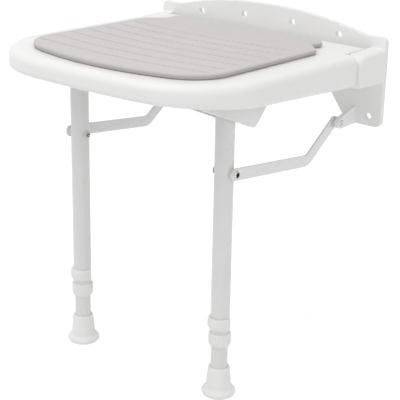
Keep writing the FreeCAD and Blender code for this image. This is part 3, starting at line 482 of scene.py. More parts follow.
def ring_tree():
    """Geometry nodes that set copies of the incoming piece round an upright axis."""
    tree = bpy.data.node_groups.new("copies round an axis", "GeometryNodeTree")
    for name, kind in (("Geometry", "Geometry"), ("Count", "Int"), ("Centre", "Vector"),
                       ("Finish", "Material")):
        tree.interface.new_socket(name, in_out="INPUT", socket_type="NodeSocket" + kind)
    tree.interface.new_socket("Geometry", in_out="OUTPUT", socket_type="NodeSocketGeometry")
    nodes = tree.nodes
    given = nodes.new("NodeGroupInput").outputs
    points = nodes.new("GeometryNodePoints")
    index = nodes.new("GeometryNodeInputIndex")
    share = maths(tree, "DIVIDE", index.outputs["Index"], given["Count"])
    turn = nodes.new("ShaderNodeCombineXYZ")
    place = nodes.new("GeometryNodeInstanceOnPoints")
    realize = nodes.new("GeometryNodeRealizeInstances")
    finish = nodes.new("GeometryNodeSetMaterial")
    result = nodes.new("NodeGroupOutput")
    for start, end in (
        (given["Count"], points.inputs["Count"]),
        (given["Centre"], points.inputs["Position"]),
        (maths(tree, "MULTIPLY", share, 2 * math.pi), turn.inputs["Z"]),
        (points.outputs[0], place.inputs["Points"]),
        (given["Geometry"], place.inputs["Instance"]),
        (turn.outputs[0], place.inputs["Rotation"]),
        (place.outputs[0], realize.inputs[0]),
        (realize.outputs[0], finish.inputs["Geometry"]),
        (given["Finish"], finish.inputs["Material"]),
        (finish.outputs[0], result.inputs[0]),
    ):
        tree.links.new(start, end)
    return tree


def socket_id(tree, name):
    """Identifier of the tree's input of that name."""
    for item in tree.interface.items_tree:
        if item.item_type == "SOCKET" and item.in_out == "INPUT" and item.name == name:
            return item.identifier
    raise KeyError(name)


def copies_round(vertices, faces, count, centre, material):
    """Vertices and faces of count copies of a small closed piece, set round centre."""
    tree = bpy.data.node_groups.get("copies round an axis") or ring_tree()
    mesh = bpy.data.meshes.new("one copy")
    mesh.from_pydata([tuple(v) for v in vertices], [], faces)
    single = placed("one copy", mesh)
    modifier = single.modifiers.new("ring", "NODES")
    modifier.node_group = tree
    modifier[socket_id(tree, "Count")] = count
    modifier[socket_id(tree, "Centre")] = tuple(centre)
    modifier[socket_id(tree, "Finish")] = material
    ring = evaluated_mesh(single)
    result = ([v.co.copy() for v in ring.vertices], [tuple(p.vertices) for p in ring.polygons])
    single.modifiers.remove(modifier)
    bpy.data.objects.remove(single)
    bpy.data.meshes.remove(ring)
    bpy.data.meshes.remove(mesh)
    return result


# Pad

PAD_FRONT = 381.0
PAD_FRONT_RADIUS = 400.0
PAD_HALF = 170.0
PAD_SIDE = (PAD_HALF, -76.0)
PAD_NOTCH = (141.5, -46.0)
PAD_TONGUE = (147.0, -14.0)
PAD_RECESS_TONGUE = 142.0
PAD_BACK = 10.0
PAD_CORNERS = {"front": 72.0, "side": 9.0, "notch": 8.0, "tongue": 11.0}
RIM_TOP = 29.0
PAD_TOP = 37.3
PAD_FOOT_GAP = 0.9
PAD_FOOT_INSET = 2.5
PAD_RECESS = 2.0
PAD_LOWER_ROUND = 2.6
CHANNELS = 7
CHANNEL_FIRST = 131.0
CHANNEL_SPACING = 35.0
CHANNEL_CURVE = 660.0
CHANNEL_BORDER_SIDE = 13.0
CHANNEL_BORDER_FRONT = 20.0
CHANNEL_SIDE = 1.0
OUTLINE_STEP = 2.2
CHANNEL_STEP = 2.4
# Band of painted shade down the pad's side: where it starts under the top, and its height
PAINTED_SHADE_START = 1.2
PAINTED_SHADE_BAND = 2.2
SWELL_FADE = 14.0
CAP_STEP = 5.0
CAP_ROW = 0.87
CAP_MARGIN = 1.2
CHANNEL_LINES = (0.0, 0.22, 0.42, 0.6, 0.76, 0.9, 1.05, 1.35)
CHANNEL_CLEAR = 1.6


def pad_outline():
    """Right half of the pad's plan from front to back, mirrored to a closed loop."""
    hub = (0.0, -PAD_FRONT + PAD_FRONT_RADIUS)
    radius = PAD_CORNERS["front"]
    across = PAD_HALF - radius
    centre = (across, hub[1] - math.sqrt((PAD_FRONT_RADIUS - radius) ** 2 - across ** 2))
    lean = math.atan2(centre[1] - hub[1], centre[0] - hub[0])
    touch = (PAD_HALF, centre[1])
    flat = (0.0, -PAD_BACK)
    side = rounding(touch, PAD_SIDE, PAD_NOTCH, PAD_CORNERS["side"], 1.0)
    half = chained(
        arc_points(hub, PAD_FRONT_RADIUS, -math.pi / 2, lean, OUTLINE_STEP),
        arc_points(centre, radius, lean, 0.0, OUTLINE_STEP),
        line_points(touch, side[0], OUTLINE_STEP),
        side,
        rounding(PAD_SIDE, PAD_NOTCH, PAD_TONGUE, PAD_CORNERS["notch"], 1.0),
        rounding(PAD_NOTCH, PAD_TONGUE, flat, PAD_CORNERS["tongue"], 1.0),
    )
    end = half[-1]
    rise = -PAD_BACK - end[1]
    steps = int(end[0] / OUTLINE_STEP)
    back = [(end[0] * (1 - i / steps), end[1] + rise * (1 - (1 - i / steps) ** 2))
            for i in range(1, steps + 1)]
    half = chained(half, back)
    spaced = [half[0]]
    for a, b in zip(half, half[1:]):
        spaced += line_points(a, b, OUTLINE_STEP)[1:]
    left = [(-x, y) for x, y in reversed(spaced[1:-1])]
    return spaced + left


def outline_normals(loop):
    """Unit vectors that point inwards from each point of the loop."""
    normals = []
    for i in range(len(loop)):
        a, b = loop[i - 1], loop[(i + 1) % len(loop)]
        along = Vector((b[0] - a[0], b[1] - a[1])).normalized()
        normals.append((-along.y, along.x))
    return normals


def inset(loop, normals, distance):
    """The loop's points moved inwards by distance."""
    return [(p[0] + n[0] * distance, p[1] + n[1] * distance) for p, n in zip(loop, normals)]


def channel_half_length(index):
    """Reach of a channel to each side, held short of the pad's sides and front."""
    y = -CHANNEL_FIRST - index * CHANNEL_SPACING
    room = max(PAD_FRONT + y - CHANNEL_BORDER_FRONT, 1.0)
    spread = 1 / (2 * PAD_FRONT_RADIUS) - 1 / (2 * CHANNEL_CURVE)
    return min(PAD_HALF - CHANNEL_BORDER_SIDE, math.sqrt(room / spread))


def channel_distance(x, y):
    """Distance from (x, y) to the nearest channel's centre line."""
    nearest = 1e9
    for index in range(CHANNELS):
        y0 = -CHANNEL_FIRST - index * CHANNEL_SPACING
        half = channel_half_length(index)
        hub_y = y0 + CHANNEL_CURVE
        if abs(x) <= half:
            away = abs(math.hypot(x, y - hub_y) - CHANNEL_CURVE)
        else:
            end_y = hub_y - math.sqrt(CHANNEL_CURVE ** 2 - half ** 2)
            away = math.hypot(abs(x) - half, y - end_y)
        nearest = min(nearest, away)
    return nearest


def pad_height(x, y, settings, drop=0.0):
    """Height of the pad's top over the level seat's hinge axis, in millimetres."""
    crown = settings.crown / MM
    z = PAD_TOP + crown * (1 - (x / PAD_SIDE[0]) ** 2)
    half = settings.channel_width / MM / 2
    away = channel_distance(x, y)
    if away < half:
        z -= settings.channel_depth / MM * (1 - (away / half) ** 2) ** CHANNEL_SIDE
    else:
        reach = CHANNEL_SPACING / 2
        share = min(1.0, (away - half) / (reach - half))
        inside = -CHANNEL_FIRST - (CHANNELS - 1) * CHANNEL_SPACING < y < -CHANNEL_FIRST
        if inside:
            z += settings.swell / MM * math.sin(share * math.pi / 2) * channel_fade(x)
    return z - drop


def channel_fade(x):
    """Share of the swell that is left near the channels' ends."""
    return max(0.0, min(1.0, (PAD_HALF - CHANNEL_BORDER_SIDE - abs(x)) / SWELL_FADE))


def pad_cap_points(inner, settings):
    """Points for the top: loops round the channels and a loose grid inside the inner ring."""
    half = settings.channel_width / MM / 2
    keep = []
    xs = [p[0] for p in inner]
    ys = [p[1] for p in inner]
    for index in range(CHANNELS):
        y0 = -CHANNEL_FIRST - index * CHANNEL_SPACING
        hub_y = y0 + CHANNEL_CURVE
        reach = channel_half_length(index)
        swing = math.asin(reach / CHANNEL_CURVE)
        count = int(2 * reach / CHANNEL_STEP)
        for share in CHANNEL_LINES:
            away = share * half
            for side in ((1,) if share == 0 else (-1, 1)):
                radius = CHANNEL_CURVE + side * away
                for i in range(count + 1):
                    t = -math.pi / 2 - swing + 2 * swing * i / count
                    keep.append((radius * math.cos(t), hub_y + radius * math.sin(t)))
            if share:
                for end in (-1, 1):
                    cx = end * reach
                    cy = hub_y - math.sqrt(CHANNEL_CURVE ** 2 - reach ** 2)
                    for i in range(1, 8):
                        t = -math.pi / 2 + math.pi * i / 8
                        keep.append((cx + end * away * math.cos(t), cy + away * math.sin(t)))
    row = 0
    y = min(ys) + CAP_STEP
    while y < max(ys) - CAP_STEP / 2:
        x = min(xs) + CAP_STEP + (CAP_STEP / 2 if row % 2 else 0.0)
        while x < max(xs) - CAP_STEP / 2:
            if channel_distance(x, y) > half * CHANNEL_LINES[-1] + CHANNEL_CLEAR:
                keep.append((x, y))
            x += CAP_STEP
        y += CAP_STEP * CAP_ROW
        row += 1
    return [point for point in keep if inside_by(inner, point, CAP_MARGIN)]


def inside_by(loop, point, margin):
    """True where point lies inside the loop, at least margin from its points."""
    x, y = point
    inside = False
    for i in range(len(loop)):
        (x0, y0), (x1, y1) = loop[i - 1], loop[i]
        if (y0 > y) != (y1 > y) and x < (x1 - x0) * (y - y0) / (y1 - y0) + x0:
            inside = not inside
    return inside and min((x - a) ** 2 + (y - b) ** 2 for a, b in loop) > margin * margin


def pad_mesh(settings):
    """Closed mesh of the pad: foot, undercut, side and rounded edge as rings, then the top."""
    loop = pad_outline()
    normals = outline_normals(loop)
    edge = settings.edge / MM
    rings = []
    base = RIM_TOP - PAD_RECESS
    foot = [(math.copysign(min(abs(x), PAD_RECESS_TONGUE), x) if y > PAD_NOTCH[1] else x, y)
            for x, y in inset(loop, normals, PAD_FOOT_INSET)]
    rings.append([(x, y, base) for x, y in foot])
    rings.append([(x, y, RIM_TOP + PAD_FOOT_GAP) for x, y in foot])
    for i in range(1, 6):
        t = math.pi / 2 * i / 5
        spot = inset(loop, normals, PAD_LOWER_ROUND * (1 - math.sin(t)))
        z = RIM_TOP + PAD_FOOT_GAP + PAD_LOWER_ROUND * (1 - math.cos(t))
        rings.append([(x, y, z) for x, y in spot])
    steps = 10
    for i in range(steps + 1):
        t = math.pi / 2 * i / steps
        spot = inset(loop, normals, edge * (1 - math.cos(t)))
        rings.append([(x, y, pad_height(x, y, settings, edge * (1 - math.sin(t)))) for x, y in spot])
    vertices = [level_to_row(*point) for ring in rings for point in ring]
    count = len(loop)
    faces = grid_faces(len(rings), count)
    faces.append(tuple(range(count))[::-1])
    inner = [(x, y) for x, y, z in rings[-1]]
    spots = [Vector(point) for point in inner + pad_cap_points(inner, settings)]
    ring_edges = [(i, (i + 1) % count) for i in range(count)]
    made, _, triangles, _, _, _ = delaunay_2d_cdt(spots, ring_edges, [], 1, 1e-5)
    offset = len(vertices)
    vertices += [level_to_row(p.x, p.y, pad_height(p.x, p.y, settings)) for p in made]
    faces += [tuple(offset + i for i in face) for face in triangles]
    return vertices, faces


def mark_painted_side_shade(pad):
    """Stores how far each point lies down the pad's side, from 0 on top to 1, as the weight of the
    painted shade on the side.
    """
    side = pad.data.attributes.new("side", "FLOAT", "POINT")
    for point, mark in zip(pad.data.vertices, side.data):
        out, up = point.co.y + HINGE_OUT, point.co.z
        level = (out * math.sin(SEAT_RISE) + up * math.cos(SEAT_RISE)) / MM
        mark.value = min(max((PAD_TOP - PAINTED_SHADE_START - level) / PAINTED_SHADE_BAND, 0.0), 1.0)


class WALLSEAT_OT_pad(bpy.types.Operator):
    """Builds the grey moulded pad with its crowned top and cross channels"""
    bl_idname = "wallseat.pad"
    bl_label = "Pad"

    def execute(self, context):
        settings = context.scene.wallseat_pad
        vertices, faces = pad_mesh(settings)
        skin = foam_skin("grey foam skin", settings.colour, settings.grain)
        pad = piece_from("moulded_pad", vertices, faces, skin, math.radians(50))
        # Weights for the painted shade on the pad's side
        mark_painted_side_shade(pad)
        finish_piece(pad, "seat", "seat_pad")
        return {"FINISHED"}


def finish_piece(piece, body, node):
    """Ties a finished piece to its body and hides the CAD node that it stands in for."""
    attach(piece, body)
    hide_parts(node)


# Collars and clips

COLLAR_BORE = 0.01437
COLLAR_LIP = 0.0128
COLLAR_LIP_HEIGHT = 0.0040
COLLAR_RING = 0.0154
COLLAR_RING_HEIGHT = 0.0030
COLLAR_WALL = 0.0160
COLLAR_EASE = 0.0008
LOBE_START = 0.0026
LOBE_ROOT = 0.0152
LOBE_BASE = 0.0158
LOBE_SPREAD = 0.84
LOBE_RUN_IN = 0.07
LOBE_RUN_OUT = 0.05
CLIP_BORE = 0.01443
CLIP_WALL = 0.0024
CLIP_ARM = 0.0030
CLIP_EASE = 0.0009
CLIP_CUT = 0.0012
SWELL_REACH = math.radians(80)
SWELL_CREST = 0.0012
PEG_RADIUS = 0.0034
PEG_ROOT = -0.0150
PEG_TIP = -0.0126
PEG_EASE = 0.0006


def collar_sleeve(height):
    """Closed profile of the collar's sleeve: mouth ring, plain wall and eased top."""
    return soft_corners([
        (COLLAR_LIP, 0.0),
        (COLLAR_RING - 0.0010, 0.0),
        (COLLAR_RING, 0.0012),
        (COLLAR_RING + 0.0001, COLLAR_RING_HEIGHT),
        (COLLAR_WALL, COLLAR_RING_HEIGHT + COLLAR_EASE),
        (COLLAR_WALL, height - COLLAR_EASE),
        (COLLAR_RING, height),
        (COLLAR_BORE, height),
        (COLLAR_BORE, COLLAR_LIP_HEIGHT),
        (COLLAR_LIP, COLLAR_LIP_HEIGHT),
    ], 0.0005)


def collar_lobe(height, rise, span):
    """One broad grip lobe beside the origin, tapered at both ends, as a closed block."""
    rows, columns = 12, 14
    low, high = LOBE_START, height - 0.0006
    vertices = []
    for r in range(rows + 1):
        share = r / rows
        z = low + (high - low) * share
        lift = min(1.0, math.sqrt(share / LOBE_RUN_IN), math.sqrt((1.0 - share) / LOBE_RUN_OUT))
        outer, inner = [], []
        for c in range(columns + 1):
            turn = -span / 2 + span * c / columns
            out = LOBE_BASE + rise * lift * (1 - abs(2 * c / columns - 1) ** 5)
            outer.append(Vector((out * math.cos(turn), out * math.sin(turn), z)))
            inner.append(Vector((LOBE_ROOT * math.cos(turn), LOBE_ROOT * math.sin(turn), z)))
        vertices += outer + inner[::-1]
    width = 2 * (columns + 1)
    faces = grid_faces(rows + 1, width)
    for foot in (0, rows * width):
        for c in range(columns):
            far = foot + width - 1 - c
            faces.append((foot + c, foot + c + 1, far - 1, far))
    return vertices, faces


def clip_section(half):
    """Points round the clip's wall as (distance out, height), close enough for the swell."""
    corners = [(0.0, -half), (CLIP_WALL, -half), (CLIP_WALL, -half / 2), (CLIP_WALL, 0.0),
               (CLIP_WALL, half / 2), (CLIP_WALL, half), (0.0, half)]
    section = soft_corners(corners, CLIP_EASE, 5)
    filled = []
    for i, (out, z) in enumerate(section):
        next_out, next_z = section[(i + 1) % len(section)]
        cuts = max(1, int(abs(next_z - z) / CLIP_CUT))
        filled += [(out + (next_out - out) * k / cuts, z + (next_z - z) * k / cuts)
                   for k in range(cuts)]
    return filled


def clip_band(height, bulge):
    """Saddle clip round the origin, open towards the wall, with a swelling thumb pad in front."""
    half = height / 2
    quarter = math.pi / 2
    arms, steps = 4, 56
    stations = [(quarter, CLIP_ARM * (1 - i / arms)) for i in range(arms)]
    stations += [(quarter - math.pi * i / steps, 0.0) for i in range(steps + 1)]
    stations += [(-quarter, CLIP_ARM * i / arms) for i in range(1, arms + 1)]
    section = clip_section(half)
    vertices = []
    for turn, beyond in stations:
        swell = 0.0
        if abs(turn) < SWELL_REACH:
            swell = bulge * math.cos(turn / SWELL_REACH * quarter) ** 1.2
        for out, z in section:
            room = half - SWELL_CREST if z > SWELL_CREST else half + SWELL_CREST
            lift = swell * max(0.0, 1 - abs((z - SWELL_CREST) / room) ** 2.2) * out / CLIP_WALL
            radius = CLIP_BORE + out + lift
            vertices.append(Vector((radius * math.sin(turn), beyond - radius * math.cos(turn), z)))
    count = len(section)
    faces = grid_faces(len(stations), count)
    faces.append(tuple(range(count)))
    faces.append(tuple((len(stations) - 1) * count + i for i in reversed(range(count))))
    return vertices, faces


def clip_peg():
    """Round peg behind the thumb pad, lying along Y."""
    profile = [(0.0, PEG_ROOT), (PEG_RADIUS, PEG_ROOT), (PEG_RADIUS, PEG_TIP - PEG_EASE),
               (PEG_RADIUS - PEG_EASE, PEG_TIP), (0.0, PEG_TIP)]
    vertices, faces = turned(profile, Vector(), 32)
    return [Vector((v.x, v.z, v.y)) for v in vertices], faces


class WALLSEAT_OT_collars(bpy.types.Operator):
    """Builds the lobed collars and the height clips of both legs"""
    bl_idname = "wallseat.collars"
    bl_label = "Collars and clips"

    def execute(self, context):
        settings = context.scene.wallseat_collar
        tone = context.scene.wallseat_finish.collar
        collar_skin = moulded_plastic("matt collar plastic", tone, 0.40, 0.52)
        clip_skin = moulded_plastic("matt clip plastic", tone, 0.34, 0.46)
        height = COLLAR_BOX[1].z - COLLAR_BOX[0].z
        span = 2 * math.pi / settings.lobes * LOBE_SPREAD
        lobe = collar_lobe(height, settings.lobe_rise, span)
        clip_height = CLIP_BOX[1].z - CLIP_BOX[0].z
        for side in SIDES:
            tube = middle(side + "_leg_tube")
            base = Vector((tube.x, tube.y, COLLAR_BOX[0].z))
            sleeve = turned(collar_sleeve(height), base)
            lobes = copies_round(*lobe, settings.lobes, base, collar_skin)
            collar = piece_from(side + "_lobed_collar", *joined(sleeve, lobes), collar_skin)
            finish_piece(collar, side + "_leg", side + "_tube_collar")

            hub = Vector((tube.x, tube.y, CLIP_BOX[0].z + clip_height / 2))
            vertices, faces = joined(clip_band(clip_height, settings.clip_bulge), clip_peg())
            clip = piece_from(side + "_saddle_clip", [hub + v for v in vertices], faces, clip_skin)
            finish_piece(clip, side + "_clip", side + "_height_clip")
        return {"FINISHED"}


# Feet

SOLE_RADIUS = 0.0205
ROLL_RADIUS = 0.0046
ROLL_HEIGHT = 0.0051
ROLL_START = -100.0
ROLL_TURN = 185.0
ROLL_STEPS = 14
CREASE_HEIGHT = 0.0103
CONE_HEIGHT = 0.0150
SOCKET_BORE = 0.01272
SOCKET_FLOOR = 0.0080
MOUTH_EASE = 0.0006
TREAD_INNER = (0.0120, 0.0016)
TREAD_OUTER = (0.0196, 0.0024)
TREAD_ROOT = 0.0004
TREAD_OFF_FLOOR = 0.0001


def foot_profile(settings, height):
    """Closed profile of a rubber foot: sole, rolled rim, tapered socket with an eased mouth."""
    flange, waist, top, tread = settings.flange, settings.waist, settings.top, settings.tread_depth
    roll = []
    for i in range(ROLL_STEPS + 1):
        t = math.radians(ROLL_START + ROLL_TURN * i / ROLL_STEPS)
        roll.append((flange - ROLL_RADIUS * (1 - math.cos(t)), ROLL_HEIGHT + ROLL_RADIUS * math.sin(t)))
    crease = [(waist + 0.0011, CREASE_HEIGHT), (waist + 0.0003, CREASE_HEIGHT + 0.0009),
              (waist, CREASE_HEIGHT + 0.0023)]
    mouth = soft_corners([
        (waist - 0.0003, CONE_HEIGHT),
        (top, height - 0.0010),
        (top - MOUTH_EASE, height),
        (SOCKET_BORE + 0.0004, height),
        (SOCKET_BORE, height - MOUTH_EASE),
        (SOCKET_BORE, SOCKET_FLOOR),
    ], 0.0007)
    sole = [(0.0, tread), (SOLE_RADIUS, tread)]
    return sole + roll + crease + mouth[1:] + [(0.0, SOCKET_FLOOR)]


def tread_block(depth):
    """One block of the tread, beside the origin, with eased edges."""
    (near, near_half), (far, far_half) = TREAD_INNER, TREAD_OUTER
    corners = [(near, -near_half), (far, -far_half), (far, far_half), (near, near_half)]
    outline = soft_corners(corners, 0.0007, 2)
    count = len(outline)
    middle_x = (near + far) / 2
    vertices = [Vector((x, y, depth + TREAD_ROOT)) for x, y in outline]
    vertices += [Vector((x, y, TREAD_ROOT)) for x, y in outline]
    vertices += [Vector((middle_x + (x - middle_x) * 0.93, y * 0.9, TREAD_OFF_FLOOR))
                 for x, y in outline]
    faces = grid_faces(3, count)
    faces.append(tuple(reversed(range(count))))
    faces.append(tuple(2 * count + i for i in range(count)))
    return vertices, faces


class WALLSEAT_OT_feet(bpy.types.Operator):
    """Builds the rubber feet with their rolled rims and treads"""
    bl_idname = "wallseat.feet"
    bl_label = "Feet"

    def execute(self, context):
        settings = context.scene.wallseat_foot
        rubber = soft_rubber("white foot rubber", context.scene.wallseat_finish.rubber)
        block = tread_block(settings.tread_depth)
        for side in SIDES:
            low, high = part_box(side + "_foot_ferrule")
            base = Vector(((low.x + high.x) / 2, (low.y + high.y) / 2, low.z))
            body = turned(foot_profile(settings, high.z - low.z), base, 112)
            tread = copies_round(*block, settings.tread_blocks, base, rubber)
            foot = piece_from(side + "_rubber_foot", *joined(body, tread), rubber, math.radians(55))
            finish_piece(foot, side + "_foot", side + "_foot_ferrule")
        return {"FINISHED"}


# Folding links and their fasteners

SHANK_RADIUS = 0.0030
FLANGE_HEIGHT = 0.0006
SOCKET_DEPTH = 0.0019
STRAP_AIR = 0.0003
BOLT_END = 0.0008
NUT_BORE = 0.0031
RIVET_SHANK = 0.0040
RIVET_HEAD = 0.0070
RIVET_HEAD_HEIGHT = 0.0025
RIVET_TAIL = 0.0052
RIVET_TAIL_HEIGHT = 0.0012
RIVET_HOLLOW = 0.0024


def domed_bolt(settings, x_end, x_seat, x_top):
    """Closed profile along X, as (radius, x), of a shank with a flanged dome round a socket."""
    radius, socket = settings.dome_radius, settings.socket_radius
    foot = x_seat + FLANGE_HEIGHT
    dome = []
    for i in range(13):
        t = math.radians(8 + 62 * i / 12)
        dome.append((radius * math.cos(t) * 0.985, foot + (x_top - foot) * math.sin(t) / 0.94))
    shank = [(0.0, x_end), (SHANK_RADIUS - 0.0006, x_end), (SHANK_RADIUS, x_end + 0.0006),
             (SHANK_RADIUS, x_seat)]
    flange = [(radius + 0.0006, x_seat), (radius + 0.0007, x_seat + FLANGE_HEIGHT / 2),
              (radius + 0.0004, foot)]
    hollow = [(socket + 0.0002, x_top), (socket, x_top - 0.0003), (socket * 0.94, x_top - SOCKET_DEPTH),
              (0.0, x_top - SOCKET_DEPTH - 0.0002)]
    return shank + flange + dome + hollow


def hex_nut(across, x0, x1):
    """Nut along X with chamfered corners and a bored hole, beside the origin."""
    stations, segments = 9, 96
    vertices = []
    for k in range(stations + 2):
        share = min(max((k - 1) / (stations - 1), 0.0), 1.0)
        x = x0 + (x1 - x0) * share
        for i in range(segments):
            t = 2 * math.pi * i / segments
            flat = across / 2 / math.cos((t % (math.pi / 3)) - math.pi / 6)
            eased = across / 2 * 0.97 + min(share, 1 - share) * (x1 - x0) * 1.9
            radius = NUT_BORE if k in (0, stations + 1) else min(flat, eased)
            vertices.append(Vector((x, radius * math.cos(t), radius * math.sin(t))))
    return vertices, grid_faces(stations + 2, segments, closed_rows=True)


def lug_rivet(x0, x1):
    """Closed profile along X, as (radius, x), of a rivet with a flat head and a hollow tail."""
    neck, tail = x0 + RIVET_HEAD_HEIGHT, x1 - RIVET_TAIL_HEIGHT
    head = [(0.0, x0), (RIVET_HEAD - 0.0020, x0), (RIVET_HEAD - 0.0002, x0 + 0.0012),
            (RIVET_HEAD, neck)]
    shank = [(RIVET_SHANK, neck), (RIVET_SHANK, tail)]
    roll = [(RIVET_TAIL, tail), (RIVET_TAIL - 0.0002, x1 - 0.0004), (RIVET_TAIL - 0.0010, x1)]
    hollow = [(RIVET_HOLLOW + 0.0006, x1 - 0.0002), (RIVET_HOLLOW, tail), (0.0, tail - 0.0002)]
    return head + shank + roll + hollow


def eased_copy(node, name, width, material):
    """Copy of a flat CAD node with its edges rounded."""
    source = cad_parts[node].data
    work = bmesh.new()
    work.from_mesh(source)
    bmesh.ops.remove_doubles(work, verts=work.verts, dist=1e-6)
    bmesh.ops.dissolve_limit(work, angle_limit=math.radians(0.5), verts=work.verts, edges=work.edges)
    mesh = bpy.data.meshes.new(name)
    work.to_mesh(mesh)
    work.free()
    copy = placed(name, mesh)
    set_material(copy, material)
    bevel = copy.modifiers.new("eased edges", "BEVEL")
    bevel.width = width
    bevel.segments = 3
    bevel.limit_method = "ANGLE"
    bevel.angle_limit = math.radians(50)
    copy.data = evaluated_mesh(copy)
    copy.modifiers.clear()
    copy.data.shade_smooth()
    copy.data.set_sharp_from_angle(angle=math.radians(40))
    return copy


class WALLSEAT_OT_links(bpy.types.Operator):
    """Builds the folding links with their bolts, nuts and rivets"""
    bl_idname = "wallseat.links"
    bl_label = "Folding links"

    def execute(self, context):
        settings = context.scene.wallseat_link
        tones = context.scene.wallseat_finish
        paint = powder_coat("white strap paint", tones.strap)
        zinc = bright_steel("polished bolt steel", tones.steel, 0.06, 0.14)
        hub = middle("right_link_bolt")
        # Painted dark reflection and shade: a ring on the bolt's domed head round its socket, and one
        # on the nut's face
        dark_ring(zinc, hub, 0.0012, settings.dome_radius * 0.76)
        nut_steel = bright_steel("polished nut steel", tones.steel, 0.06, 0.14)
        dark_ring(nut_steel, hub, 0.0008, settings.nut_flats * 0.36)
        steel = bright_steel("polished rivet steel", tones.steel, 0.10, 0.20)
        seat_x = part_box("right_link_strap")[1].x + STRAP_AIR
        nut_x = NUT_BOX[1].x
        end_x = nut_x - settings.nut_height - BOLT_END
        bolt_hub = Vector((0.0, hub.y, hub.z))
        shank = domed_bolt(settings, end_x, seat_x, seat_x + settings.dome_rise)
        nut = hex_nut(settings.nut_flats, nut_x - settings.nut_height, nut_x)
        lug = middle("right_lug_pin")
        rivet = lug_rivet(LUG_PIN_BOX[0].x, LUG_PIN_BOX[1].x)
        nut_angle, round_angle = math.radians(25), math.radians(40)
        fasteners = (
            ("_domed_bolt", turned(shank, bolt_hub, 72, True), zinc, round_angle,
             "{}_leg", "_link_bolt", "bolt_zinc"),
            ("_hex_nut", ([bolt_hub + v for v in nut[0]], nut[1]), nut_steel, nut_angle,
             "{}_leg", "_link_nut", "bolt_zinc"),
            ("_lug_rivet", turned(rivet, Vector((0.0, lug.y, lug.z)), 64, True), steel, round_angle,
             "wall_bracket", "_lug_pin", "pin_steel"),
        )
        for side in SIDES:
            strap = eased_copy(side + "_link_strap", side + "_folding_link", settings.strap_edge, paint)
            finish_piece(strap, side + "_link", side + "_link_strap")
            for name, (vertices, faces), metal, sharp, body, node, slot in fasteners:
                spots = [on_side(side, v) for v in vertices]
                piece = piece_from(side + name, spots, faces, metal, sharp)
                finish_piece(piece, body.format(side), side + node)
        return {"FINISHED"}


# Finishes of the CAD nodes

class WALLSEAT_OT_finishes(bpy.types.Operator):
    """Gives every carried over CAD node its material"""
    bl_idname = "wallseat.finishes"
    bl_label = "Finishes"

    def execute(self, context):
        tones = context.scene.wallseat_finish
        moulding = moulded_plastic("white moulding", tones.moulding)
        nylon = moulded_plastic("natural nylon", tones.nylon, 0.42, 0.55, 900.0, 0.04)
        paint = powder_coat("white leg paint", tones.paint)
        steel = bright_steel("turned steel", tones.steel, 0.16, 0.30)
        chosen = {"wall_bracket": moulding, "seat_shell": moulding, "leg_tube": paint,
                  "inner_tube": paint, "hinge_pin": steel, "leg_pivot_pin": steel,
                  "foot_washer": steel}
        for name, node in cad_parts.items():
            kind = name.replace("right_", "").replace("left_", "")
            set_material(node, chosen.get(kind, nylon))
        return {"FINISHED"}


# Stage

FLOOR_REACH = 6.0
FLOOR_COLOUR = (0.92, 0.92, 0.92, 1.0)
LAMP_AIM = (0.0, -0.25, -0.1)
KEY_PLACE = (-0.4, -1.3, 2.25)
KEY_SIZE = 2.2
SIDE_PLACE = (2.2, -0.6, 0.9)
SIDE_SIZE = 1.6


def seen_directly(tree):
    """1 for rays from the camera and for reflected or refracted ones, otherwise 0."""
    path = tree.nodes.new("ShaderNodeLightPath")
    value = path.outputs["Is Camera Ray"]
    for kind in ("Is Glossy Ray", "Is Transmission Ray"):
        value = maths(tree, "MAXIMUM", value, path.outputs[kind])
    return value


def area_lamp(name, place, aim, size, power):
    data = bpy.data.lights.new(name, "AREA")
    data.shape = "SQUARE"
    data.size = size
    data.energy = power
    lamp = placed(name, data)
    lamp.location = place
    lamp.rotation_euler = (Vector(aim) - Vector(place)).to_track_quat("-Z", "Y").to_euler()


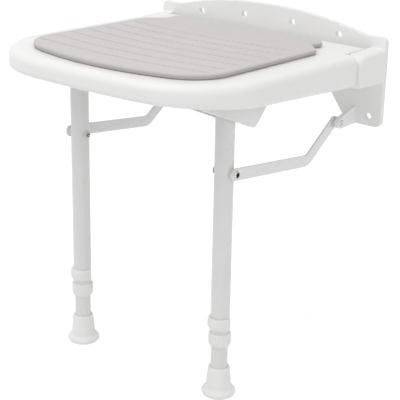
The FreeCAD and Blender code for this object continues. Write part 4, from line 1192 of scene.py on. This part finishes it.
class WALLSEAT_OT_stage(bpy.types.Operator):
    """Builds the floor, the lights, the world and the camera"""
    bl_idname = "wallseat.stage"
    bl_label = "Stage"

    def execute(self, context):
        settings = context.scene.wallseat_stage
        scene = context.scene
        scene.view_settings.view_transform = "Standard"

        camera_data = bpy.data.cameras.new("camera")
        camera_data.sensor_width = 36.0
        camera_data.lens = settings.focal_length
        camera = placed("camera", camera_data)
        a, e, r = settings.azimuth, settings.elevation, settings.roll
        back = Vector((math.sin(a) * math.cos(e), -math.cos(a) * math.cos(e), math.sin(e)))
        right = Vector((math.cos(a), math.sin(a), 0.0))
        up = back.cross(right)
        tilted_right = right * math.cos(r) + up * math.sin(r)
        tilted_up = up * math.cos(r) - right * math.sin(r)
        turn = Matrix((tilted_right, tilted_up, back)).transposed()
        camera.matrix_world = Matrix.Translation(settings.camera_place) @ turn.to_4x4()
        scene.camera = camera

        world = bpy.data.worlds.new("studio")
        scene.world = world
        world.use_nodes = True
        tree = world.node_tree
        light = tree.nodes["Background"]
        set_inputs(light, Color=WHITE, Strength=settings.ambient)
        backdrop = tree.nodes.new("ShaderNodeBackground")
        set_inputs(backdrop, Color=WHITE, Strength=1.0)
        choose = tree.nodes.new("ShaderNodeMixShader")
        tree.links.new(seen_directly(tree), choose.inputs["Fac"])
        tree.links.new(light.outputs[0], choose.inputs[1])
        tree.links.new(backdrop.outputs[0], choose.inputs[2])
        tree.links.new(choose.outputs[0], tree.nodes["World Output"].inputs["Surface"])

        floor_mesh = bpy.data.meshes.new("floor")
        corners = ((-1, -1), (1, -1), (1, 1), (-1, 1))
        floor_mesh.from_pydata([(x * FLOOR_REACH, y * FLOOR_REACH, FLOOR) for x, y in corners],
                               [], [(0, 1, 2, 3)])
        floor = placed("floor", floor_mesh)
        material, tree, shader = new_material("pale floor")
        set_inputs(shader, Base_Color=FLOOR_COLOUR, Roughness=0.9, Specular_IOR_Level=0.1,
                   Emission_Color=WHITE)
        lift = maths(tree, "MULTIPLY", seen_directly(tree), settings.floor_lift)
        tree.links.new(lift, shader.inputs["Emission Strength"])
        set_material(floor, material)

        area_lamp("key", KEY_PLACE, LAMP_AIM, KEY_SIZE, settings.key)
        area_lamp("side", SIDE_PLACE, LAMP_AIM, SIDE_SIZE, settings.side)
        return {"FINISHED"}


class WALLSEAT_PT_panel(bpy.types.Panel):
    """Lists the wall seat's settings and building steps"""
    bl_idname = "WALLSEAT_PT_panel"
    bl_label = "Wall seat"
    bl_space_type = "VIEW_3D"
    bl_region_type = "UI"
    bl_category = "Wall seat"

    def draw(self, context):
        layout = self.layout
        for group, title in GROUPS:
            settings = getattr(context.scene, group)
            part = layout.box()
            part.label(text=title)
            for key in settings.__annotations__:
                part.prop(settings, key)
        for step in STEPS:
            layout.operator(step.bl_idname)


GROUPS = (
    ("wallseat_pad", "Pad"),
    ("wallseat_collar", "Collars and clips"),
    ("wallseat_foot", "Feet"),
    ("wallseat_link", "Folding links"),
    ("wallseat_finish", "Finishes"),
    ("wallseat_stage", "Stage"),
)
GROUP_TYPES = (WALLSEAT_PG_pad, WALLSEAT_PG_collar, WALLSEAT_PG_foot, WALLSEAT_PG_link,
               WALLSEAT_PG_finish, WALLSEAT_PG_stage)
STEPS = (WALLSEAT_OT_stage, WALLSEAT_OT_finishes, WALLSEAT_OT_pad, WALLSEAT_OT_collars,
         WALLSEAT_OT_feet, WALLSEAT_OT_links)
CLASSES = GROUP_TYPES + STEPS + (WALLSEAT_PT_panel,)


def register():
    for item in CLASSES:
        bpy.utils.register_class(item)
    for (name, _), kind in zip(GROUPS, GROUP_TYPES):
        setattr(bpy.types.Scene, name, bpy.props.PointerProperty(type=kind))


def unregister():
    for name, _ in GROUPS:
        delattr(bpy.types.Scene, name)
    for item in reversed(CLASSES):
        bpy.utils.unregister_class(item)


def main():
    register()
    for step in STEPS:
        group, action = step.bl_idname.split(".")
        getattr(getattr(bpy.ops, group), action)()


if __name__ == "__main__":
    main()
